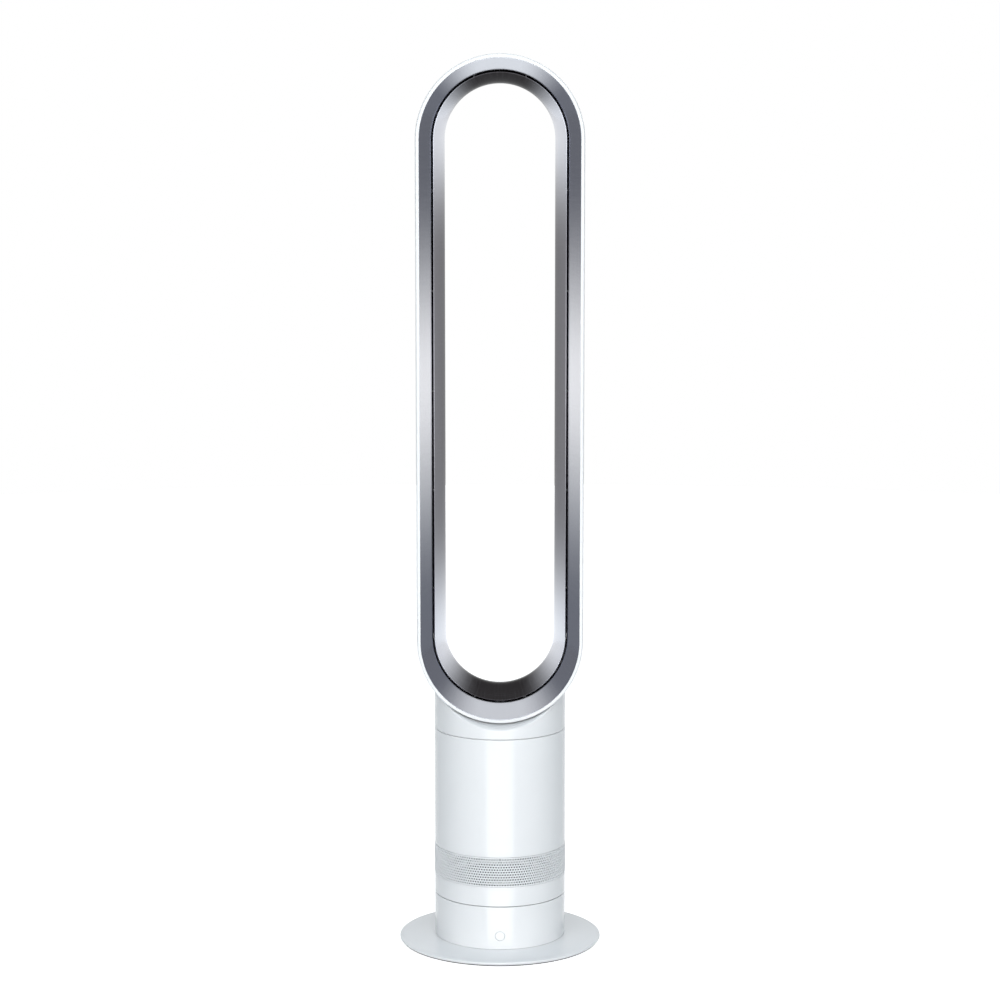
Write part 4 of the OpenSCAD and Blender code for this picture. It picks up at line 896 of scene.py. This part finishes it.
class FAN_OT_loop_inner_band(PieceOperator, bpy.types.Operator):
    """Make the satin band behind the air slot, which guides the air through the opening and round the back"""

    bl_idname = "fan.loop_inner_band"
    bl_label = "Loop, inner band"

    def build(self, sizes, look):
        r, wall, back = sizes.loop_radius / MM, sizes.loop_wall / MM, LOOP_HIGH.y / MM
        throat, tip, seam = sizes.throat_radius / MM, 0.75, 0.2
        middle, half = (r + throat) / 2, (r - throat) / 2
        nose = ellipse((middle, THROAT_Y), (half, back - THROAT_Y), 90, 180, 28)
        nose[0] = (nose[0][0] - seam, nose[0][1])
        ys = between(THROAT_Y, SLOT_Y, 24)[1:]
        face = [(skin_radius(sizes, y), y) for y in ys[:-1]] + [(skin_radius(sizes, SLOT_Y), SLOT_Y, 0.2)]
        walls = [wall + (tip - wall) * (THROAT_Y - y) / (THROAT_Y - SLOT_Y) for y in ys]
        behind = [(skin_radius(sizes, y) + w, y) for y, w in zip(ys, walls)]
        behind[-1] = (behind[-1][0], SLOT_Y + 0.25, 0.2)
        inside = ellipse((middle, THROAT_Y), (half - wall, back - THROAT_Y - wall), 180, 90, 14)
        inside[-1] = (inside[-1][0] - seam, inside[-1][1])
        verts, faces, marks = swept(rounded(nose + face + behind[::-1] + inside, 4))
        # Painted reflections: the inner band's sides and arcs run from painted shade to painted highlight, dark where
        # the front band is light
        sides, arcs = (look.inner_side_painted_shade, look.inner_painted_highlight), (look.inner_arc_painted_shade, look.inner_painted_highlight)
        paint = satin_band_with_painted_reflections("satin silver inner band", sides, arcs, (-0.03, 0.7, 2.7), (0.15, 0.8, 1.3), True)
        nodes = ["inner_band_top", "inner_band_sides", "inner_band_bottom"]
        piece("inner_band", verts, faces, "tower", "satin_silver", nodes, paint, marks)


class FAN_OT_inner_parts(bpy.types.Operator):
    """Give each CAD node that stays its finish"""

    bl_idname = "fan.inner_parts"
    bl_label = "Inner parts"
    bl_options = {"REGISTER", "UNDO"}

    def execute(self, context):
        slots = {part["node"]: part["material_slot"] for part in frame["record"]["subparts"]}
        for name, node in frame["nodes"].items():
            if node.hide_render:
                continue
            if not node.material_slots:
                node.data.materials.append(None)
            for slot in node.material_slots:
                slot.link = "OBJECT"
                slot.material = finish(slots[name])
        return {"FINISHED"}


# The stage

def seen_share(tree):
    """1 for what the camera sees straight, in gloss or through glass, and 0 for soft light."""
    path = tree.nodes.new("ShaderNodeLightPath")
    first, second = tree.nodes.new("ShaderNodeMath"), tree.nodes.new("ShaderNodeMath")
    tree.links.new(path.outputs["Is Camera Ray"], first.inputs[0])
    tree.links.new(path.outputs["Is Glossy Ray"], first.inputs[1])
    tree.links.new(first.outputs[0], second.inputs[0])
    tree.links.new(path.outputs["Is Transmission Ray"], second.inputs[1])
    second.use_clamp = True
    return second.outputs[0]


def area_lamp(name, place, aim, width, height, power, colour):
    """A wide lamp at a place, turned to what it aims at."""
    lamp = bpy.data.lights.new(name, "AREA")
    lamp.shape, lamp.size, lamp.size_y, lamp.energy, lamp.color = "RECTANGLE", width, height, power, colour
    obj = bpy.data.objects.new(name, lamp)
    obj.location = place
    obj.rotation_euler = (Vector(aim) - Vector(place)).to_track_quat("-Z", "Y").to_euler()
    bpy.context.scene.collection.objects.link(obj)
    return obj


def light_card(strength):
    """A bright wedge just above the floor in front, which shows only in gloss: the body's middle stripe."""
    mesh = bpy.data.meshes.new("light card")
    near, near_y, far, far_y = 0.035, -0.125, 0.58, -1.36
    mesh.from_pydata([(-near, near_y, 0), (near, near_y, 0), (far, far_y, 0), (-far, far_y, 0)], [], [(0, 1, 2, 3)])
    card = bpy.data.objects.new("light card", mesh)
    bpy.context.scene.collection.objects.link(card)
    card.location.z = 0.001
    glow = bpy.data.materials.new("light card")
    glow.use_nodes = True
    glow.node_tree.nodes.remove(glow.node_tree.nodes["Principled BSDF"])
    shine = glow.node_tree.nodes.new("ShaderNodeEmission")
    shine.inputs["Strength"].default_value = strength
    glow.node_tree.links.new(shine.outputs[0], glow.node_tree.nodes["Material Output"].inputs[0])
    mesh.materials.append(glow)
    card.visible_camera = card.visible_diffuse = card.visible_transmission = card.visible_shadow = False


class FAN_OT_stage(bpy.types.Operator):
    """Make the pale floor, the soft studio light and the camera"""

    bl_idname = "fan.stage"
    bl_label = "Stage"
    bl_options = {"REGISTER", "UNDO"}

    def execute(self, context):
        scene, stage = context.scene, context.scene.fan_stage
        world = bpy.data.worlds.new("pale studio")
        scene.world = world
        world.use_nodes = True
        tree = world.node_tree
        soft = tree.nodes["Background"]
        soft.inputs["Color"].default_value = (0.66, 0.86, 1.0, 1)
        soft.inputs["Strength"].default_value = stage.ambient
        seen = tree.nodes.new("ShaderNodeBackground")
        seen.inputs["Color"].default_value = (1, 1, 1, 1)
        seen.inputs["Strength"].default_value = 1.0
        both = tree.nodes.new("ShaderNodeMixShader")
        tree.links.new(seen_share(tree), both.inputs[0])
        tree.links.new(soft.outputs[0], both.inputs[1])
        tree.links.new(seen.outputs[0], both.inputs[2])
        tree.links.new(both.outputs[0], tree.nodes["World Output"].inputs[0])

        mesh = bpy.data.meshes.new("floor")
        reach, count = 4, 96
        turns = [2 * math.pi * k / count for k in range(count)]
        mesh.from_pydata([(reach * math.cos(a), reach * math.sin(a), 0) for a in turns], [], [tuple(range(count))])
        floor = bpy.data.objects.new("floor", mesh)
        scene.collection.objects.link(floor)
        floor.location.z = -0.0002  # just under the foot ring
        paint = bpy.data.materials.new("pale floor")
        paint.use_nodes = True
        tree = paint.node_tree
        tree.nodes.remove(tree.nodes["Principled BSDF"])
        plain, lit = tree.nodes.new("ShaderNodeBsdfDiffuse"), tree.nodes.new("ShaderNodeBsdfDiffuse")
        plain.inputs["Color"].default_value = (0.8, 0.8, 0.8, 1)
        lit.inputs["Color"].default_value = (0.5, 0.5, 0.5, 1)
        glow, both = tree.nodes.new("ShaderNodeEmission"), tree.nodes.new("ShaderNodeAddShader")
        mixed = tree.nodes.new("ShaderNodeMixShader")
        glow.inputs["Strength"].default_value = 0.88
        tree.links.new(lit.outputs[0], both.inputs[0])
        tree.links.new(glow.outputs[0], both.inputs[1])
        tree.links.new(seen_share(tree), mixed.inputs[0])
        tree.links.new(plain.outputs[0], mixed.inputs[1])
        tree.links.new(both.outputs[0], mixed.inputs[2])
        tree.links.new(mixed.outputs[0], tree.nodes["Material Output"].inputs[0])
        mesh.materials.append(paint)

        area_lamp("front light", (0, -4.2, 1.1), (0, 0, 0.5), 4.2, 3.0, stage.front, (1, 1, 1))
        back = area_lamp("back light", (0, 4.2, 1.3), (0, 0, 0.5), 4.2, 3.0, stage.back, (1, 1, 1))
        back.visible_glossy = False
        area_lamp("top light", (0, -1, 2.9), (0, -0.2, 0), 3, 3, stage.top, (0.87, 0.945, 1))
        light_card(stage.card)

        camera = bpy.data.cameras.new("camera")
        camera.lens, camera.sensor_width = stage.lens, 36
        camera.clip_start, camera.clip_end = 0.05, 60
        view = bpy.data.objects.new("camera", camera)
        view.location = (0, -stage.distance, stage.height)
        view.rotation_euler = (math.pi / 2 - stage.pitch, 0, 0)
        scene.collection.objects.link(view)
        scene.camera = view
        scene.view_settings.view_transform = "Standard"
        return {"FINISHED"}


PIECES = (
    FAN_OT_base_plate, FAN_OT_base_housing, FAN_OT_power_button, FAN_OT_cord_gland, FAN_OT_lower_collar,
    FAN_OT_inlet_grille, FAN_OT_body_shell, FAN_OT_neck_collar, FAN_OT_loop_outer_shell, FAN_OT_loop_front_band,
    FAN_OT_loop_inner_band, FAN_OT_inner_parts, FAN_OT_stage,
)


class FAN_PT_sidebar(bpy.types.Panel):
    """Lists the fan's pieces, sizes and finishes"""

    bl_label = "Tower fan"
    bl_idname = "FAN_PT_sidebar"
    bl_space_type = "VIEW_3D"
    bl_region_type = "UI"
    bl_category = "Tower fan"

    def draw(self, context):
        layout = self.layout
        for made in PIECES:
            layout.operator(made.bl_idname)
        for group in (context.scene.fan_sizes, context.scene.fan_finishes, context.scene.fan_stage):
            box = layout.box()
            for name in group.__annotations__:
                box.prop(group, name)


GROUPS = {"fan_sizes": FanSizes, "fan_finishes": FanFinishes, "fan_stage": FanStage}


def register():
    for made in (*GROUPS.values(), *PIECES, FAN_PT_sidebar):
        bpy.utils.register_class(made)
    for name, group in GROUPS.items():
        setattr(bpy.types.Scene, name, bpy.props.PointerProperty(type=group))


def unregister():
    for name in GROUPS:
        delattr(bpy.types.Scene, name)
    for made in reversed((*GROUPS.values(), *PIECES, FAN_PT_sidebar)):
        bpy.utils.unregister_class(made)


def main():
    register()
    for made in PIECES:
        group, name = made.bl_idname.split(".")
        getattr(getattr(bpy.ops, group), name)()


if __name__ == "__main__":
    main()
